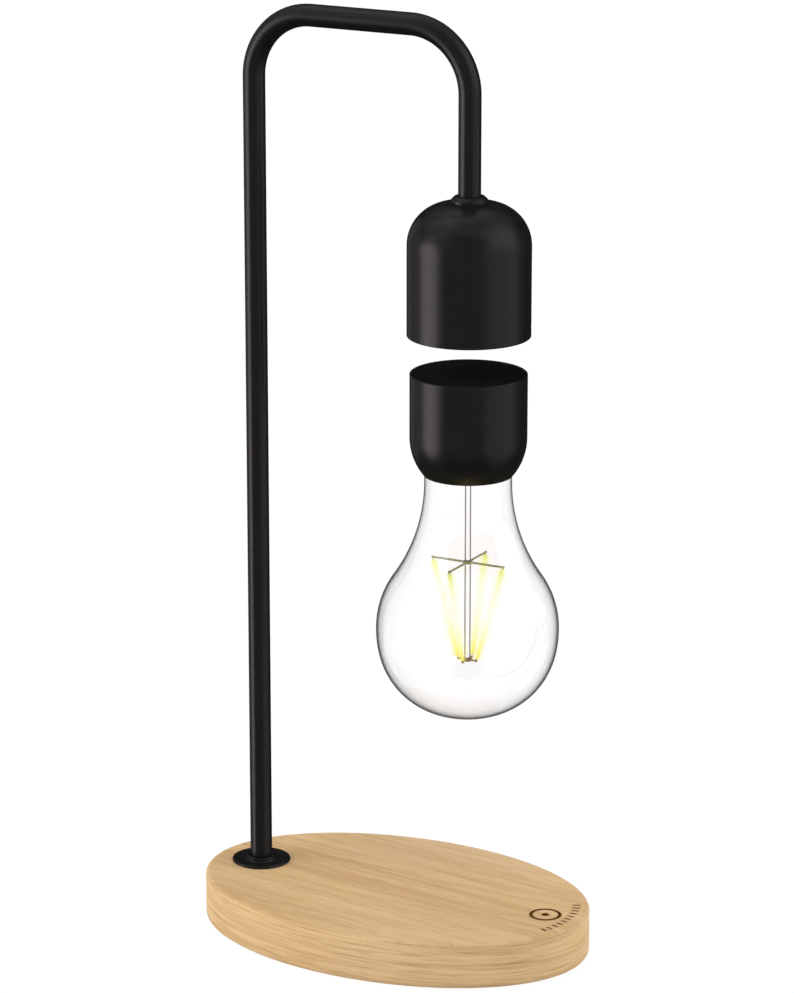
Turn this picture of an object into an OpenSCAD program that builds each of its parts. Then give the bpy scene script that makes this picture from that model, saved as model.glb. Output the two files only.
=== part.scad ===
// Table lamp with a bulb that floats under a bent tube arm.
// Millimetres, Z up. The origin is the middle of the base on the surface that the lamp stands on.
// X runs along the base, from the arm's foot towards the touch mark.

/* [Oak base] */
// Length of the oval base
base_l = 149.5; // [142:0.5:190]
// Width of the oval base
base_w = 100; // [94:0.5:130]
// Thickness of the oak block
base_t = 17.5; // [16.5:0.5:28]
// Easing of the oak's top and bottom edges
base_ease = 0.8; // [0.3:0.1:1.5]
// Oak left above the hollow, thin enough for touch sensing
skin_t = 3.5; // [2.5:0.5:4.5]
// Oak wall between the hollow and the outside
wall_w = 10; // [9:0.5:12]
// Oak lip around the bottom cover
lip_w = 3; // [2:0.5:3.5]
// Thickness of the bottom cover
cover_t = 2; // [1.8:0.1:2.6]
// Diameter of a rubber foot
foot_d = 10; // [8:0.5:11]
// How far a rubber foot stands out below the oak
foot_proud = 0.8; // [0.5:0.1:2]
// Thickness of the steel ballast plate
ballast_t = 3; // [2:0.25:3.5]
// Diameter of the touch plate under the mark
touch_d = 14; // [10:0.5:16]
// Distance from the base's front tip to the middle of the touch mark
mark_inset = 13.8; // [12:0.1:20]

/* [Arm] */
// Diameter of the arm tube
arm_d = 8; // [7:0.25:9]
// Wall of the arm tube
arm_wall = 1; // [0.8:0.1:1.3]
// Height of the arm's top above the oak
arm_h = 321; // [305:1:360]
// Distance between the arm's two legs
arm_reach = 85.5; // [78:0.5:96]
// Bend radius of the arm, to the tube's centre
bend_r = 23; // [18:0.5:32]
// Distance from the base's rear tip to the arm's foot
arm_inset = 18.25; // [17:0.25:22]
// Oak clamped between the foot flange and the washer
clamp_t = 6; // [5:0.5:7]
// Diameter of the foot flange
flange_d = 21.5; // [19:0.5:26]
// Height of the foot flange's inner collar
flange_h = 2.2; // [1.8:0.1:3]
// Thickness of the bundle of wires in the arm
harness_d = 2.8; // [2:0.1:3.2]

/* [Head] */
// Distance from the arm's top down to the head's top
head_drop = 64.35; // [56:0.05:75]
// Diameter of the bell-shaped head
head_d = 43.5; // [42:0.5:52]
// Height of the bell-shaped head
head_h = 47.15; // [44:0.05:56]
// Radius that rounds the head's shoulder
head_fillet = 15; // [10:0.5:16]
// Wall of the head shell
head_wall = 1.2; // [1:0.1:1.6]
// Diameter of the collar on top of the head
collar_d = 12.9; // [12:0.1:15]
// Height of the collar on top of the head
collar_h = 2.4; // [2:0.1:4]
// Diameter of the iron core
core_d = 10; // [8:0.5:12]
// Height of the winding between the bobbin's flanges
winding_h = 17.6; // [14:0.2:18]
// Outer diameter of the winding
winding_d = 33.6; // [28:0.2:34]

/* [Floating bulb] */
// Air gap between the head and the cup
float_gap = 13.4; // [9:0.1:20]
// Diameter of the cup
cup_d = 41.4; // [40.6:0.2:48]
// Height of the cup
cup_h = 36.5; // [35.5:0.5:40]
// Height of the cup's straight upper part
cup_straight = 22.9; // [22.5:0.1:24.5]
// Radius that rounds the cup's lower part
cup_round = 21.3; // [20.7:0.1:24]
// Wall of the cup
cup_wall = 1; // [0.8:0.1:1.2]
// Diameter of the lifting magnet
magnet_d = 24; // [20:0.5:25]
// Thickness of the lifting magnet
magnet_t = 5; // [3:0.5:5.5]
// Greatest diameter of the glass
bulb_d = 65; // [60:0.5:72]
// Wall of the glass
glass_t = 0.6; // [0.6:0.1:1]
// Distance from the cup's lower edge down to the widest part of the glass
bulb_sink = 56.5; // [52:0.5:64]
// Depth of the glass below its widest part
bowl_h = 32.2; // [28:0.1:36]
// Straight neck that shows below the cup
neck_free = 2.6; // [1:0.1:5]
// Distance from the cup's lower edge down to the wire cross
cross_sink = 32.3; // [28:0.1:38]
// Span of the wire cross, tip to tip
cross_span = 29; // [24:0.5:31]
// Height from the hub up to the wire cross
filament_rise = 36.1; // [32:0.1:38]
// Diameter of one filament
filament_d = 1.7; // [1.2:0.1:2.2]
// Diameter of the glass stem
stem_d = 2.2; // [1.4:0.02:2.4]

/* [Hidden] */
$fn = 96;

// Clearances
fit_gap = 0.15;
thread_gap = 0.05;
run_gap = 0.3;
// How far one cut or boss runs into the next, so that no face is shared
cut_over = 1;

// Heights and places in the base
half_l = base_l / 2;
half_w = base_w / 2;
oak_z = foot_proud;
oak_top = oak_z + base_t;
cover_top = oak_z + cover_t;
hollow_top = oak_top - skin_t;
hollow_mid = (cover_top + hollow_top) / 2;
arm_r = arm_d / 2;
arm_x = arm_inset - half_l;
mark_x = half_l - mark_inset;
head_x = arm_x + arm_reach;

// Arm fastening under the oak
seat_z = oak_top - clamp_t;
washer_t = 1.2;
washer_d = 2 * arm_d;
foot_nut_t = 4;
nut_flat = arm_d + 4;
well_gap = 1.5;
well_r = washer_d / 2 + well_gap;
block_wall = 2.5;
block_r = well_r + block_wall;
channel_w = 7;
channel_end = 2;
thread_out = 0.5;
tube_foot_z = seat_z - washer_t - foot_nut_t - thread_out;
harness_r = harness_d / 2;
harness_bend = 1.5 * harness_r;
harness_z = min(tube_foot_z - harness_bend, cover_top + run_gap + harness_r);

// Screws: all have a hexagon socket, and their heads lie just inside the face around them
screw_head_r = 2.5;
screw_head_h = 1;
screw_sink = 0.1;
screw_seat_h = screw_head_h + screw_sink;
cover_screw_r = 1.25;
cover_screw_bite = 5.5;
cover_screw_l = cover_t + cover_screw_bite;
cover_hole_l = 7;
ballast_screw_r = 1.5;
board_screw_head_r = 1.9;
board_screw_r = 1;
board_screw_l = 5.5;
board_hole_l = 4.5;
cap_screw_head_r = 1.5;
cap_screw_head_h = 0.8;
cap_screw_r = 0.8;
cap_screw_l = 3.6;
cap_hole_end = 0.3;
socket_r_share = 0.5;
socket_h_share = 0.6;

// Cover screws, feet and ballast
ledge_inset = (lip_w + wall_w) / 2;
cover_screw_angles = [62, 118, 242, 298];
foot_in = 7.5;
foot_inset = ledge_inset + foot_in;
foot_angles = [38, 142, 218, 322];
foot_r = foot_d / 2;
foot_sink = 0.5;
foot_edge = 0.5;
ballast_in = 6;
ballast_inset = wall_w + ballast_in;
ballast_screw_x = 30;
ballast_screw_y = 21;
ballast_well_gap = 4.5;
ballast_plate_gap = 5;
ballast_slot_w = 12;
ballast_slot_over = 9;
touch_t = 0.5;
touch_r = touch_d / 2;
touch_lead_r = 0.5;
touch_lead_in = 2;

// Control board on the cover's posts
board_l = 60;
board_w = 34;
board_t = 1.6;
board_hole_inset = 4;
board_hole_x = board_l / 2 - board_hole_inset;
board_hole_y = board_w / 2 - board_hole_inset;
board_lift = 2.5;
board_gap = 7;
board_z = cover_top + ballast_t + board_lift;
board_top = board_z + board_t;
board_mid = board_z + board_t / 2;
board_x0 = arm_x + well_r + board_gap;
board_x1 = board_x0 + board_l;
board_cx = (board_x0 + board_x1) / 2;
post_r = 2.6;

// Parts on the control board
tall_gap = 0.8;
tall_h = hollow_top - tall_gap - board_mid;
coil_r = 5;
coil_at = [18, -7];
can_r = 2.8;
can_at = [30, 9];
can_step = 7.5;
chip_w = 9;
chip_h = 2.4;
chip_at = [28, -7];
port_l = 6;
port_w = 5;
port_h = 2;
port_at = [43, -6];

// Power inlet in the rear wall: a socket for a 5.5 x 2.1 plug
jack_sink = 0.6;
jack_mouth_y = half_w - jack_sink;
jack_bore_r = 3.2;
jack_nose_r = 4.5;
jack_depth = 9.5;
jack_pin_r = 1;
jack_root_r = 1.3;
jack_pin_back = 1;
jack_pin_ease = 0.3;
jack_front_y = half_w - wall_w - run_gap;
jack_floor_y = jack_mouth_y - jack_depth;
jack_rear_t = 5;
jack_back_y = min(jack_front_y, jack_floor_y) - jack_rear_t;
jack_back_t = 1;
jack_w = 9;
jack_gap = 1;
jack_h = hollow_top - cover_top - jack_gap;
jack_lead_r = 0.6;
jack_lead_x = 2.5;

// Plug of the arm's wires under the control board
plug_l = 7;
plug_w = 8;
plug_in = 0.5;
plug_wall = 0.2;

// Foot flange: a rounded rim, a shallow groove and an inner collar
flange_r = flange_d / 2;
flange_edge = 0.5;
flange_rim_h = 1;
flange_groove_h = 0.7;
flange_rim_w = 1.3;
flange_slope_w = 0.5;
flange_step_w = 1.5;
flange_round = 0.8;
flange_foot_w = 0.6;
flange_edge_a = 70;
flange_round_a = 10;
flange_steps = 6;

// Arm path
arm_top = oak_top + arm_h;
arm_cz = arm_top - arm_r;
head_top = arm_top - head_drop;
head_z = head_top - head_h;
head_r = head_d / 2;
head_in_r = head_r - head_wall;
head_nut_t = 5;
head_thread_out = 1.5;
tube_head_z = head_top - head_wall - head_nut_t - head_thread_out;
collar_edge = 1.3;

// Stack of parts in the head, from the bottom up
cap_lift = 0.6;
cap_t = 1.5;
cap_z = head_z + cap_lift;
cap_top = cap_z + cap_t;
cap_r = head_in_r - fit_gap;
skirt_w = 1.6;
skirt_h = 3.9;
send_t = 1.4;
send_r = 15;
core_r = core_d / 2;
hub_wall = 1.2;
hub_r = core_r + thread_gap + hub_wall;
centre_gap = 0.5;
centre_hole_r = core_r + centre_gap;
sheet_t = 0.8;
flange_t = 1.2;
bobbin_z = cap_top + send_t + sheet_t;
bobbin_r = cap_r - skirt_w - fit_gap - run_gap;
winding_z = bobbin_z + flange_t;
bobbin_top = winding_z + winding_h + flange_t;
winding_r = winding_d / 2;
bias_r = 10;
bias_t = 5;
bias_gap = 1.7;
driver_lift = bias_t + bias_gap;
driver_z = bobbin_top + driver_lift;
driver_t = 1.6;
driver_r = 16.5;
driver_chip_w = 5;
driver_chip_h = 2.4;
driver_chip_ring = 8;
driver_chip_angles = [40, 160, 280];
socket_w = 7;
socket_h = 3;
cap_post_r = 1.45;
cap_screw_ring = bobbin_r - cap_post_r - fit_gap;
driver_post_ring = 14.5;
driver_post_r = 1.5;
sensor_t = 0.8;
sensor_l = 4;
sensor_w = 3;
sensor_h = 0.9;

// Cup and what it holds, from the top down
cup_r = cup_d / 2;
cup_top = head_z - float_gap;
cup_z = cup_top - cup_h;
cup_arc_z = cup_top - cup_straight;
cup_arc_x = cup_r - cup_round;
cup_in_r = cup_r - cup_wall;
cup_mouth_r = cup_arc_x + sqrt(pow(cup_round, 2) - pow(cup_arc_z - cup_z, 2));
lid_sink = 0.5;
lid_t = 1.2;
lid_z = cup_top - lid_sink - lid_t;
magnet_r = magnet_d / 2;
pocket_r = magnet_r + run_gap;
pocket_z = lid_z - magnet_t - 2 * run_gap;
cradle_r = cup_in_r - fit_gap;
cradle_floor = 1.9;
cradle_z = pocket_z - cradle_floor;
pocket_wall = 1.2;
rim_wall = 1;
coil_in_r = pocket_r + pocket_wall;
coil_out_r = cradle_r - rim_wall;
coil_t = 2;
ferrite_t = 0.6;
receiver_t = 1.6;
receiver_r = 16.5;
receiver_gap = 3.4;
receiver_top = cradle_z - receiver_gap;
receiver_z = receiver_top - receiver_t;
receiver_chip_w = 8;
receiver_chip_h = 1.8;
receiver_can_r = 2;
receiver_can_h = 2;
receiver_can_ring = 8;
receiver_can_angles = [30, 150, 270];
cup_post_ring = 14.5;
cup_post_r = 1.5;

// Glass: bowl, ball, shoulder and neck in one smooth outline
lip_t = 0.22;
neck_gap = 0.1;
neck_r = cup_mouth_r - lip_t - neck_gap;
bulb_r = bulb_d / 2;
bulb_z = cup_z - bulb_sink;
shoulder_top = cup_z - neck_free;
shoulder_rise = shoulder_top - bulb_z;
shoulder_r = (pow(shoulder_rise, 2) + pow(neck_r, 2) - pow(bulb_r, 2)) / (2 * (bulb_r - neck_r));
shoulder_x = neck_r + shoulder_r;
tangent_a = atan2(shoulder_rise, shoulder_x);
bowl_power = 2.18;
bowl_steps = 27;
ball_steps = 18;
shoulder_steps = 20;
shoulder_skip_a = 2;
neck_in = 8.4;
neck_top = cup_z + neck_in;

// Ring that holds the neck in the cup
ring_grip = 1.4;
ring_z = neck_top - ring_grip;
ring_cap_z = neck_top + thread_gap;
ring_cap_t = 1.5;
ring_top = ring_cap_z + ring_cap_t;
ring_step = 3;
ring_reach = cup_arc_z - ring_z;
ring_r = cup_arc_x + sqrt(pow(cup_round - cup_wall, 2) - pow(ring_reach, 2)) - fit_gap;

// Stem, cross and hub
stem_r = stem_d / 2;
cross_z = cup_z - cross_sink;
hub_z = cross_z - filament_rise;
hub_reach = 4;
cross_reach = cross_span / 2;
wire_r = 0.38;
eye_r = stem_r + thread_gap;
eye_w = 0.6;
eye_h = 0.9;
flare_r = neck_r - glass_t - thread_gap;
flare_in = 1.2;
flare_edge = 1;
flare_h = 4.4;
flare_z = neck_top - flare_in;
press_top = flare_z - flare_h;
press_r = 2.4;
press_lift = 0.6;
press_z = cup_z + press_lift;
lead_r = 0.3;
lead_x = 1.3;

// Pins at the ends of a filament
pin_r = 0.25;
pin_l = 0.6;
pin_gap = 0.15;
hub_gap = 0.2;

oak = [0.82, 0.68, 0.49];
coat = [0.12, 0.12, 0.115];
copper = [0.78, 0.45, 0.25];
steel = [0.62, 0.63, 0.65];
circuit = [0.08, 0.33, 0.2];
plastic = [0.1, 0.1, 0.1];
ferrite_grey = [0.24, 0.24, 0.26];
brass = [0.72, 0.6, 0.3];
clear_glass = [0.86, 0.92, 0.94, 0.35];
ivory = [0.85, 0.83, 0.75];
jacket = [0.7, 0.15, 0.12];
glow = [1, 0.9, 0.45];

filament_names = ["filament_1", "filament_2", "filament_3", "filament_4"];

// Points of an arc around (x, y), from angle a0 to a1 in n steps
function arc(x, y, r, a0, a1, n) =
    [for (i = [0 : n]) let (a = a0 + (a1 - a0) * i / n) [x + r * cos(a), y + r * sin(a)]];

// Point on the oval that lies inset from the base's outline
function oval_at(inset, a) = [(half_l - inset) * cos(a), (half_w - inset) * sin(a)];

// Outline of the glass, moved inwards by t
function bowl_points(t) =
    [for (i = [0 : bowl_steps - 1]) let (a = 90 * i / bowl_steps)
        [(bulb_r - t) * pow(sin(a), 2 / bowl_power), bulb_z - (bowl_h - t) * pow(cos(a), 2 / bowl_power)]];
function glass_points(t, top) = concat(
    bowl_points(t),
    arc(0, bulb_z, bulb_r - t, 0, tangent_a, ball_steps),
    arc(shoulder_x, shoulder_top, shoulder_r + t, 180 + tangent_a - shoulder_skip_a, 180, shoulder_steps),
    [[neck_r - t, top]]);

module oval_face(inset) {
    scale([1, (half_w - inset) / (half_l - inset)]) circle(r = half_l - inset);
}

module oval(inset, h) {
    linear_extrude(h) oval_face(inset);
}

// Oval block whose top and bottom edges are rounded
module eased_oval(h, ease) {
    hull() for (a = [0 : 45 : 90]) {
        rise = ease * (1 - sin(a));
        translate([0, 0, rise]) oval(ease * (1 - cos(a)), h - 2 * rise);
    }
}

module ring(r, hole_r, h) {
    difference() {
        cylinder(r = r, h = h);
        translate([0, 0, -cut_over]) cylinder(r = hole_r, h = h + 2 * cut_over);
    }
}

// Copies what follows to each corner of a rectangle around the origin
module corners(x, y) {
    for (sx = [-1, 1], sy = [-1, 1]) translate([sx * x, sy * y, 0]) children();
}

// Copies what follows to n places on a circle
module around(n, r, start = 90) {
    for (i = [0 : n - 1]) rotate([0, 0, start + 360 * i / n]) translate([r, 0, 0]) children();
}

// Screw with its head at the bottom and its shank upwards
module screw(head_r, head_h, shank_r, shank_l) {
    difference() {
        union() {
            cylinder(r = head_r, h = head_h);
            cylinder(r = shank_r, h = head_h + shank_l);
        }
        translate([0, 0, -cut_over])
            cylinder(r = head_r * socket_r_share, h = cut_over + head_h * socket_h_share, $fn = 6);
    }
}

module hex_nut(h) {
    difference() {
        cylinder(r = nut_flat / 2 / cos(30), h = h, $fn = 6);
        translate([0, 0, -cut_over]) cylinder(r = arm_r + thread_gap, h = h + 2 * cut_over);
    }
}

// Round bar along the arm: up the rear leg, over the arch and down to the head
module arch_bar(r, rear_z, front_z) {
    straight_top = arm_cz - bend_r;
    translate([arm_x, 0, rear_z]) cylinder(r = r, h = straight_top - rear_z);
    translate([arm_x + bend_r, 0, straight_top])
        rotate([90, 0, 0]) rotate([0, 0, 90])
            rotate_extrude(angle = 90) translate([bend_r, 0]) circle(r = r);
    translate([arm_x + bend_r, 0, arm_cz])
        rotate([0, 90, 0]) cylinder(r = r, h = arm_reach - 2 * bend_r);
    translate([head_x - bend_r, 0, straight_top])
        rotate([90, 0, 0]) rotate_extrude(angle = 90) translate([bend_r, 0]) circle(r = r);
    translate([head_x, 0, front_z]) cylinder(r = r, h = straight_top - front_z);
}

// Half outline of a bell with a rounded shoulder and a flat top
module bell_outline(r, h, fillet) {
    intersection() {
        union() {
            square([r, h - fillet]);
            square([r - fillet, h]);
            translate([r - fillet, h - fillet]) circle(r = fillet);
        }
        square([r, h]);
    }
}

// Half outline of the cup's body, drawn in at the bottom by an arc
module cup_outline(r, round_r) {
    intersection() {
        union() {
            translate([0, cup_arc_z]) square([r, cup_top - cup_arc_z]);
            translate([cup_arc_x, cup_arc_z]) circle(r = round_r);
        }
        translate([0, cup_z]) square([r, cup_h]);
    }
}

// Copies what follows to each cover screw
module at_cover_screws() {
    for (a = cover_screw_angles) translate(oval_at(ledge_inset, a)) children();
}

// Copies what follows to each rubber foot
module at_feet() {
    for (a = foot_angles) translate(oval_at(foot_inset, a)) children();
}

// Copies what follows to each post under the control board
module at_board_posts() {
    translate([board_cx, 0, 0]) corners(board_hole_x, board_hole_y) children();
}

// Space for a screw that is let into the cover's underside
module screw_seat(shank_r) {
    translate([0, 0, oak_z - cut_over]) cylinder(r = screw_head_r + fit_gap, h = screw_seat_h + cut_over);
    translate([0, 0, oak_z]) cylinder(r = shank_r + thread_gap, h = cover_t + cut_over);
}

// Places what follows at depth y in the power inlet, pointing out of it
module in_jack(y) {
    translate([0, y, hollow_mid]) rotate([-90, 0, 0]) children();
}

module base_block() {
    low = oak_z - cut_over;
    color(oak) difference() {
        translate([0, 0, oak_z]) eased_oval(base_t, base_ease);
        translate([0, 0, low]) oval(lip_w, cover_t + cut_over);
        translate([0, 0, low]) linear_extrude(hollow_top - low) {
            difference() {
                oval_face(wall_w);
                translate([arm_x, 0]) circle(r = block_r);
            }
            translate([mark_x, 0]) circle(r = touch_r + fit_gap);
        }
        translate([arm_x, 0, low]) cylinder(r = well_r, h = seat_z - low);
        translate([arm_x, -channel_w / 2, low])
            cube([block_r + channel_end, channel_w, harness_z + harness_r + channel_end - low]);
        translate([arm_x, 0, oak_z]) cylinder(r = arm_r + fit_gap, h = base_t + cut_over);
        in_jack(half_w - wall_w - cut_over)
            cylinder(r = jack_nose_r + fit_gap, h = wall_w + 2 * cut_over);
        at_cover_screws() translate([0, 0, cover_top - cut_over])
            cylinder(r = cover_screw_r + thread_gap, h = cover_hole_l + cut_over);
    }
}

module base_cover() {
    color(plastic) difference() {
        union() {
            translate([0, 0, oak_z]) oval(lip_w + fit_gap, cover_t);
            at_board_posts() translate([0, 0, oak_z]) cylinder(r = post_r, h = board_z - oak_z);
        }
        at_board_posts() translate([0, 0, board_z - board_hole_l])
            cylinder(r = board_screw_r + thread_gap, h = board_hole_l + cut_over);
        at_cover_screws() screw_seat(cover_screw_r);
        corners(ballast_screw_x, ballast_screw_y) screw_seat(ballast_screw_r);
        at_feet() translate([0, 0, oak_z - cut_over])
            cylinder(r = foot_r + thread_gap, h = foot_sink + cut_over);
    }
}

module cover_screws() {
    color(steel) at_cover_screws() translate([0, 0, oak_z + screw_sink])
        screw(screw_head_r, screw_head_h, cover_screw_r, cover_screw_l);
}

module rubber_feet() {
    top = foot_proud + foot_sink;
    color(plastic) at_feet() rotate_extrude()
        polygon([[0, 0], [foot_r - foot_edge, 0], [foot_r, foot_edge], [foot_r, top], [0, top]]);
}

module ballast_plate() {
    h = ballast_t + 2 * cut_over;
    color(steel) difference() {
        translate([0, 0, cover_top]) oval(ballast_inset, ballast_t);
        translate([0, 0, cover_top - cut_over]) {
            translate([arm_x, 0, 0]) cylinder(r = well_r + ballast_well_gap, h = h);
            translate([mark_x, 0, 0]) cylinder(r = touch_r + ballast_plate_gap, h = h);
            translate([arm_x, -ballast_slot_w / 2, 0])
                cube([board_x0 + ballast_slot_over - arm_x, ballast_slot_w, h]);
            at_board_posts() cylinder(r = post_r + fit_gap, h = h);
            corners(ballast_screw_x, ballast_screw_y) cylinder(r = ballast_screw_r + thread_gap, h = h);
        }
    }
}

module ballast_screws() {
    color(steel) corners(ballast_screw_x, ballast_screw_y) translate([0, 0, oak_z + screw_sink])
        screw(screw_head_r, screw_head_h, ballast_screw_r, cover_t - screw_seat_h + ballast_t);
}

module control_board() {
    color(circuit) difference() {
        union() {
            translate([board_x0, -board_w / 2, board_z]) cube([board_l, board_w, board_t]);
            translate([board_x0, 0, board_mid]) {
                translate(coil_at) cylinder(r = coil_r, h = tall_h);
                for (i = [0 : 2]) translate([can_at.x + can_step * i, can_at.y])
                    cylinder(r = can_r, h = tall_h);
                translate(chip_at) cube([chip_w, chip_w, chip_h]);
                translate(port_at) cube([port_l, port_w, port_h]);
            }
        }
        at_board_posts() translate([0, 0, board_z - cut_over])
            cylinder(r = board_screw_r + fit_gap, h = board_t + 2 * cut_over);
    }
}

module board_screws() {
    color(steel) at_board_posts() translate([0, 0, board_top + screw_head_h]) mirror([0, 0, 1])
        screw(board_screw_head_r, screw_head_h, board_screw_r, board_screw_l);
}

module touch_plate() {
    color(copper) translate([mark_x, 0, hollow_top - touch_t]) cylinder(r = touch_r, h = touch_t);
}

module touch_lead() {
    lead_at = mark_x - touch_r + touch_lead_in;
    color(copper) translate([0, 0, board_mid]) {
        translate([lead_at, 0, 0]) cylinder(r = touch_lead_r, h = hollow_top - touch_t - board_mid);
        translate([lead_at, 0, 0]) sphere(r = touch_lead_r);
        translate([board_x1, 0, 0]) rotate([0, 90, 0]) cylinder(r = touch_lead_r, h = lead_at - board_x1);
    }
}

module power_jack() {
    color(plastic) difference() {
        union() {
            in_jack(jack_front_y - cut_over)
                cylinder(r = jack_nose_r, h = jack_mouth_y - jack_front_y + cut_over);
            translate([-jack_w / 2, jack_back_y, hollow_mid - jack_h / 2])
                cube([jack_w, jack_front_y - jack_back_y, jack_h]);
        }
        in_jack(jack_floor_y) cylinder(r = jack_bore_r, h = jack_depth + cut_over);
        in_jack(jack_back_y + jack_back_t) cylinder(r = jack_root_r + thread_gap, h = jack_depth);
    }
}

module jack_pin() {
    shank_l = jack_depth - jack_pin_back - jack_pin_ease;
    color(steel) {
        in_jack(jack_back_y + jack_back_t)
            cylinder(r = jack_root_r, h = jack_floor_y - jack_back_y - jack_back_t);
        in_jack(jack_floor_y) {
            cylinder(r = jack_pin_r, h = shank_l);
            translate([0, 0, shank_l])
                cylinder(r1 = jack_pin_r, r2 = jack_pin_r - jack_pin_ease, h = jack_pin_ease);
        }
    }
}

module jack_leads() {
    color(copper) for (x = [-jack_lead_x, jack_lead_x]) translate([x, board_w / 2, board_mid])
        rotate([-90, 0, 0]) cylinder(r = jack_lead_r, h = jack_back_y - board_w / 2);
}

module harness_plug() {
    plug_bottom = harness_z - harness_r - plug_wall;
    color(ivory) translate([board_x0 + plug_in, -plug_w / 2, plug_bottom])
        cube([plug_l, plug_w, board_z - plug_bottom]);
}

module arm_flange() {
    step_r = arm_r + flange_step_w;
    collar_x = step_r - flange_foot_w;
    groove_x = flange_r - flange_rim_w - flange_slope_w;
    color(coat) translate([arm_x, 0, oak_top]) rotate_extrude() polygon(concat(
        [[arm_r + thread_gap, 0]],
        arc(flange_r - flange_edge, flange_edge, flange_edge, -90, flange_edge_a, flange_steps),
        [[flange_r - flange_rim_w, flange_rim_h], [groove_x, flange_groove_h]],
        [[step_r + flange_foot_w, flange_groove_h]],
        arc(collar_x, flange_h - flange_round, flange_round, flange_round_a, 90, flange_steps),
        [[arm_r + thread_gap, flange_h]]));
}

module arm_tube() {
    color(coat) difference() {
        arch_bar(arm_r, tube_foot_z, tube_head_z);
        arch_bar(arm_r - arm_wall, tube_foot_z - cut_over, tube_head_z - cut_over);
    }
}

module arm_washer() {
    color(steel) translate([arm_x, 0, seat_z - washer_t]) ring(washer_d / 2, arm_r + fit_gap, washer_t);
}

module arm_nut() {
    color(steel) translate([arm_x, 0, seat_z - washer_t - foot_nut_t]) hex_nut(foot_nut_t);
}

module arm_wires() {
    bend_x = arm_x + harness_bend;
    color(jacket) {
        translate([bend_x, 0, harness_z])
            rotate([0, 90, 0]) cylinder(r = harness_r, h = board_x0 + plug_in - bend_x);
        translate([bend_x, 0, harness_z + harness_bend])
            rotate([90, 0, 0]) rotate([0, 0, 180]) rotate_extrude(angle = 90)
                translate([harness_bend, 0]) circle(r = harness_r);
        arch_bar(harness_r, harness_z + harness_bend, driver_z + driver_t + socket_h);
    }
}

module head_collar() {
    r = collar_d / 2;
    color(coat) translate([head_x, 0, head_top]) rotate_extrude()
        polygon([[arm_r + thread_gap, 0], [r, 0], [r, collar_h - collar_edge], [r - collar_edge, collar_h],
            [arm_r + thread_gap, collar_h]]);
}

module head_shell() {
    color(coat) translate([head_x, 0, head_z]) difference() {
        rotate_extrude() bell_outline(head_r, head_h, head_fillet);
        translate([0, 0, -cut_over]) rotate_extrude()
            bell_outline(head_in_r, head_h + cut_over - head_wall, head_fillet - head_wall);
        cylinder(r = arm_r + fit_gap, h = head_h + cut_over);
    }
}

module head_nut() {
    color(steel) translate([head_x, 0, head_top - head_wall - head_nut_t]) hex_nut(head_nut_t);
}

module driver_board() {
    chip_z = driver_t / 2;
    color(circuit) translate([head_x, 0, driver_z]) {
        cylinder(r = driver_r, h = driver_t);
        translate([-socket_w / 2, -socket_w / 2, chip_z]) cube([socket_w, socket_w, chip_z + socket_h]);
        for (a = driver_chip_angles) rotate([0, 0, a])
            translate([driver_chip_ring, -driver_chip_w / 2, chip_z])
                cube([driver_chip_w, driver_chip_w, driver_chip_h]);
    }
}

module bias_magnet() {
    color(steel) translate([head_x, 0, bobbin_top]) cylinder(r = bias_r, h = bias_t);
}

module magnet_core() {
    color(ferrite_grey) translate([head_x, 0, bobbin_z]) cylinder(r = core_r, h = bobbin_top - bobbin_z);
}

module coil_bobbin() {
    post_root = flange_t / 2;
    hole_top = winding_z - cap_hole_end;
    color(ivory) translate([head_x, 0, 0]) difference() {
        union() {
            translate([0, 0, bobbin_z]) cylinder(r = bobbin_r, h = flange_t);
            translate([0, 0, bobbin_z]) cylinder(r = hub_r, h = bobbin_top - bobbin_z);
            translate([0, 0, bobbin_top - flange_t]) cylinder(r = bobbin_r, h = flange_t);
            around(3, cap_screw_ring) translate([0, 0, cap_top])
                cylinder(r = cap_post_r, h = bobbin_z - cap_top + post_root);
            around(3, driver_post_ring) translate([0, 0, bobbin_top - post_root])
                cylinder(r = driver_post_r, h = driver_lift + post_root);
        }
        translate([0, 0, bobbin_z - cut_over])
            cylinder(r = core_r + thread_gap, h = bobbin_top - bobbin_z + 2 * cut_over);
        around(3, cap_screw_ring) translate([0, 0, cap_top - cut_over])
            cylinder(r = cap_screw_r + thread_gap, h = hole_top - cap_top + cut_over);
    }
}

module lift_coil() {
    color(copper) translate([head_x, 0, winding_z + thread_gap])
        ring(winding_r, hub_r + thread_gap, winding_h - 2 * thread_gap);
}

module ferrite_sheet() {
    color(ferrite_grey) translate([head_x, 0, bobbin_z - sheet_t]) ring(send_r, centre_hole_r, sheet_t);
}

module transmit_coil() {
    color(copper) translate([head_x, 0, cap_top]) ring(send_r, centre_hole_r, send_t);
}

module sensor_board() {
    chip_z = sensor_t / 2;
    color(circuit) translate([head_x, 0, cap_top]) {
        cylinder(r = core_r, h = sensor_t);
        translate([-sensor_w / 2, -sensor_l / 2, chip_z]) cube([sensor_w, sensor_l, chip_z + sensor_h]);
    }
}

module head_cap() {
    color(plastic) translate([head_x, 0, cap_z]) difference() {
        union() {
            cylinder(r = cap_r, h = cap_t);
            ring(cap_r, cap_r - skirt_w, cap_t + skirt_h);
        }
        around(3, cap_screw_ring) {
            translate([0, 0, -cut_over])
                cylinder(r = cap_screw_head_r + fit_gap, h = cap_screw_head_h + screw_sink + cut_over);
            cylinder(r = cap_screw_r + thread_gap, h = cap_t + cut_over);
        }
    }
}

module cap_screws() {
    color(steel) translate([head_x, 0, cap_z + screw_sink]) around(3, cap_screw_ring)
        screw(cap_screw_head_r, cap_screw_head_h, cap_screw_r, cap_screw_l);
}

module float_magnet() {
    color(steel) translate([head_x, 0, pocket_z + run_gap]) cylinder(r = magnet_r, h = magnet_t);
}

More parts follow.
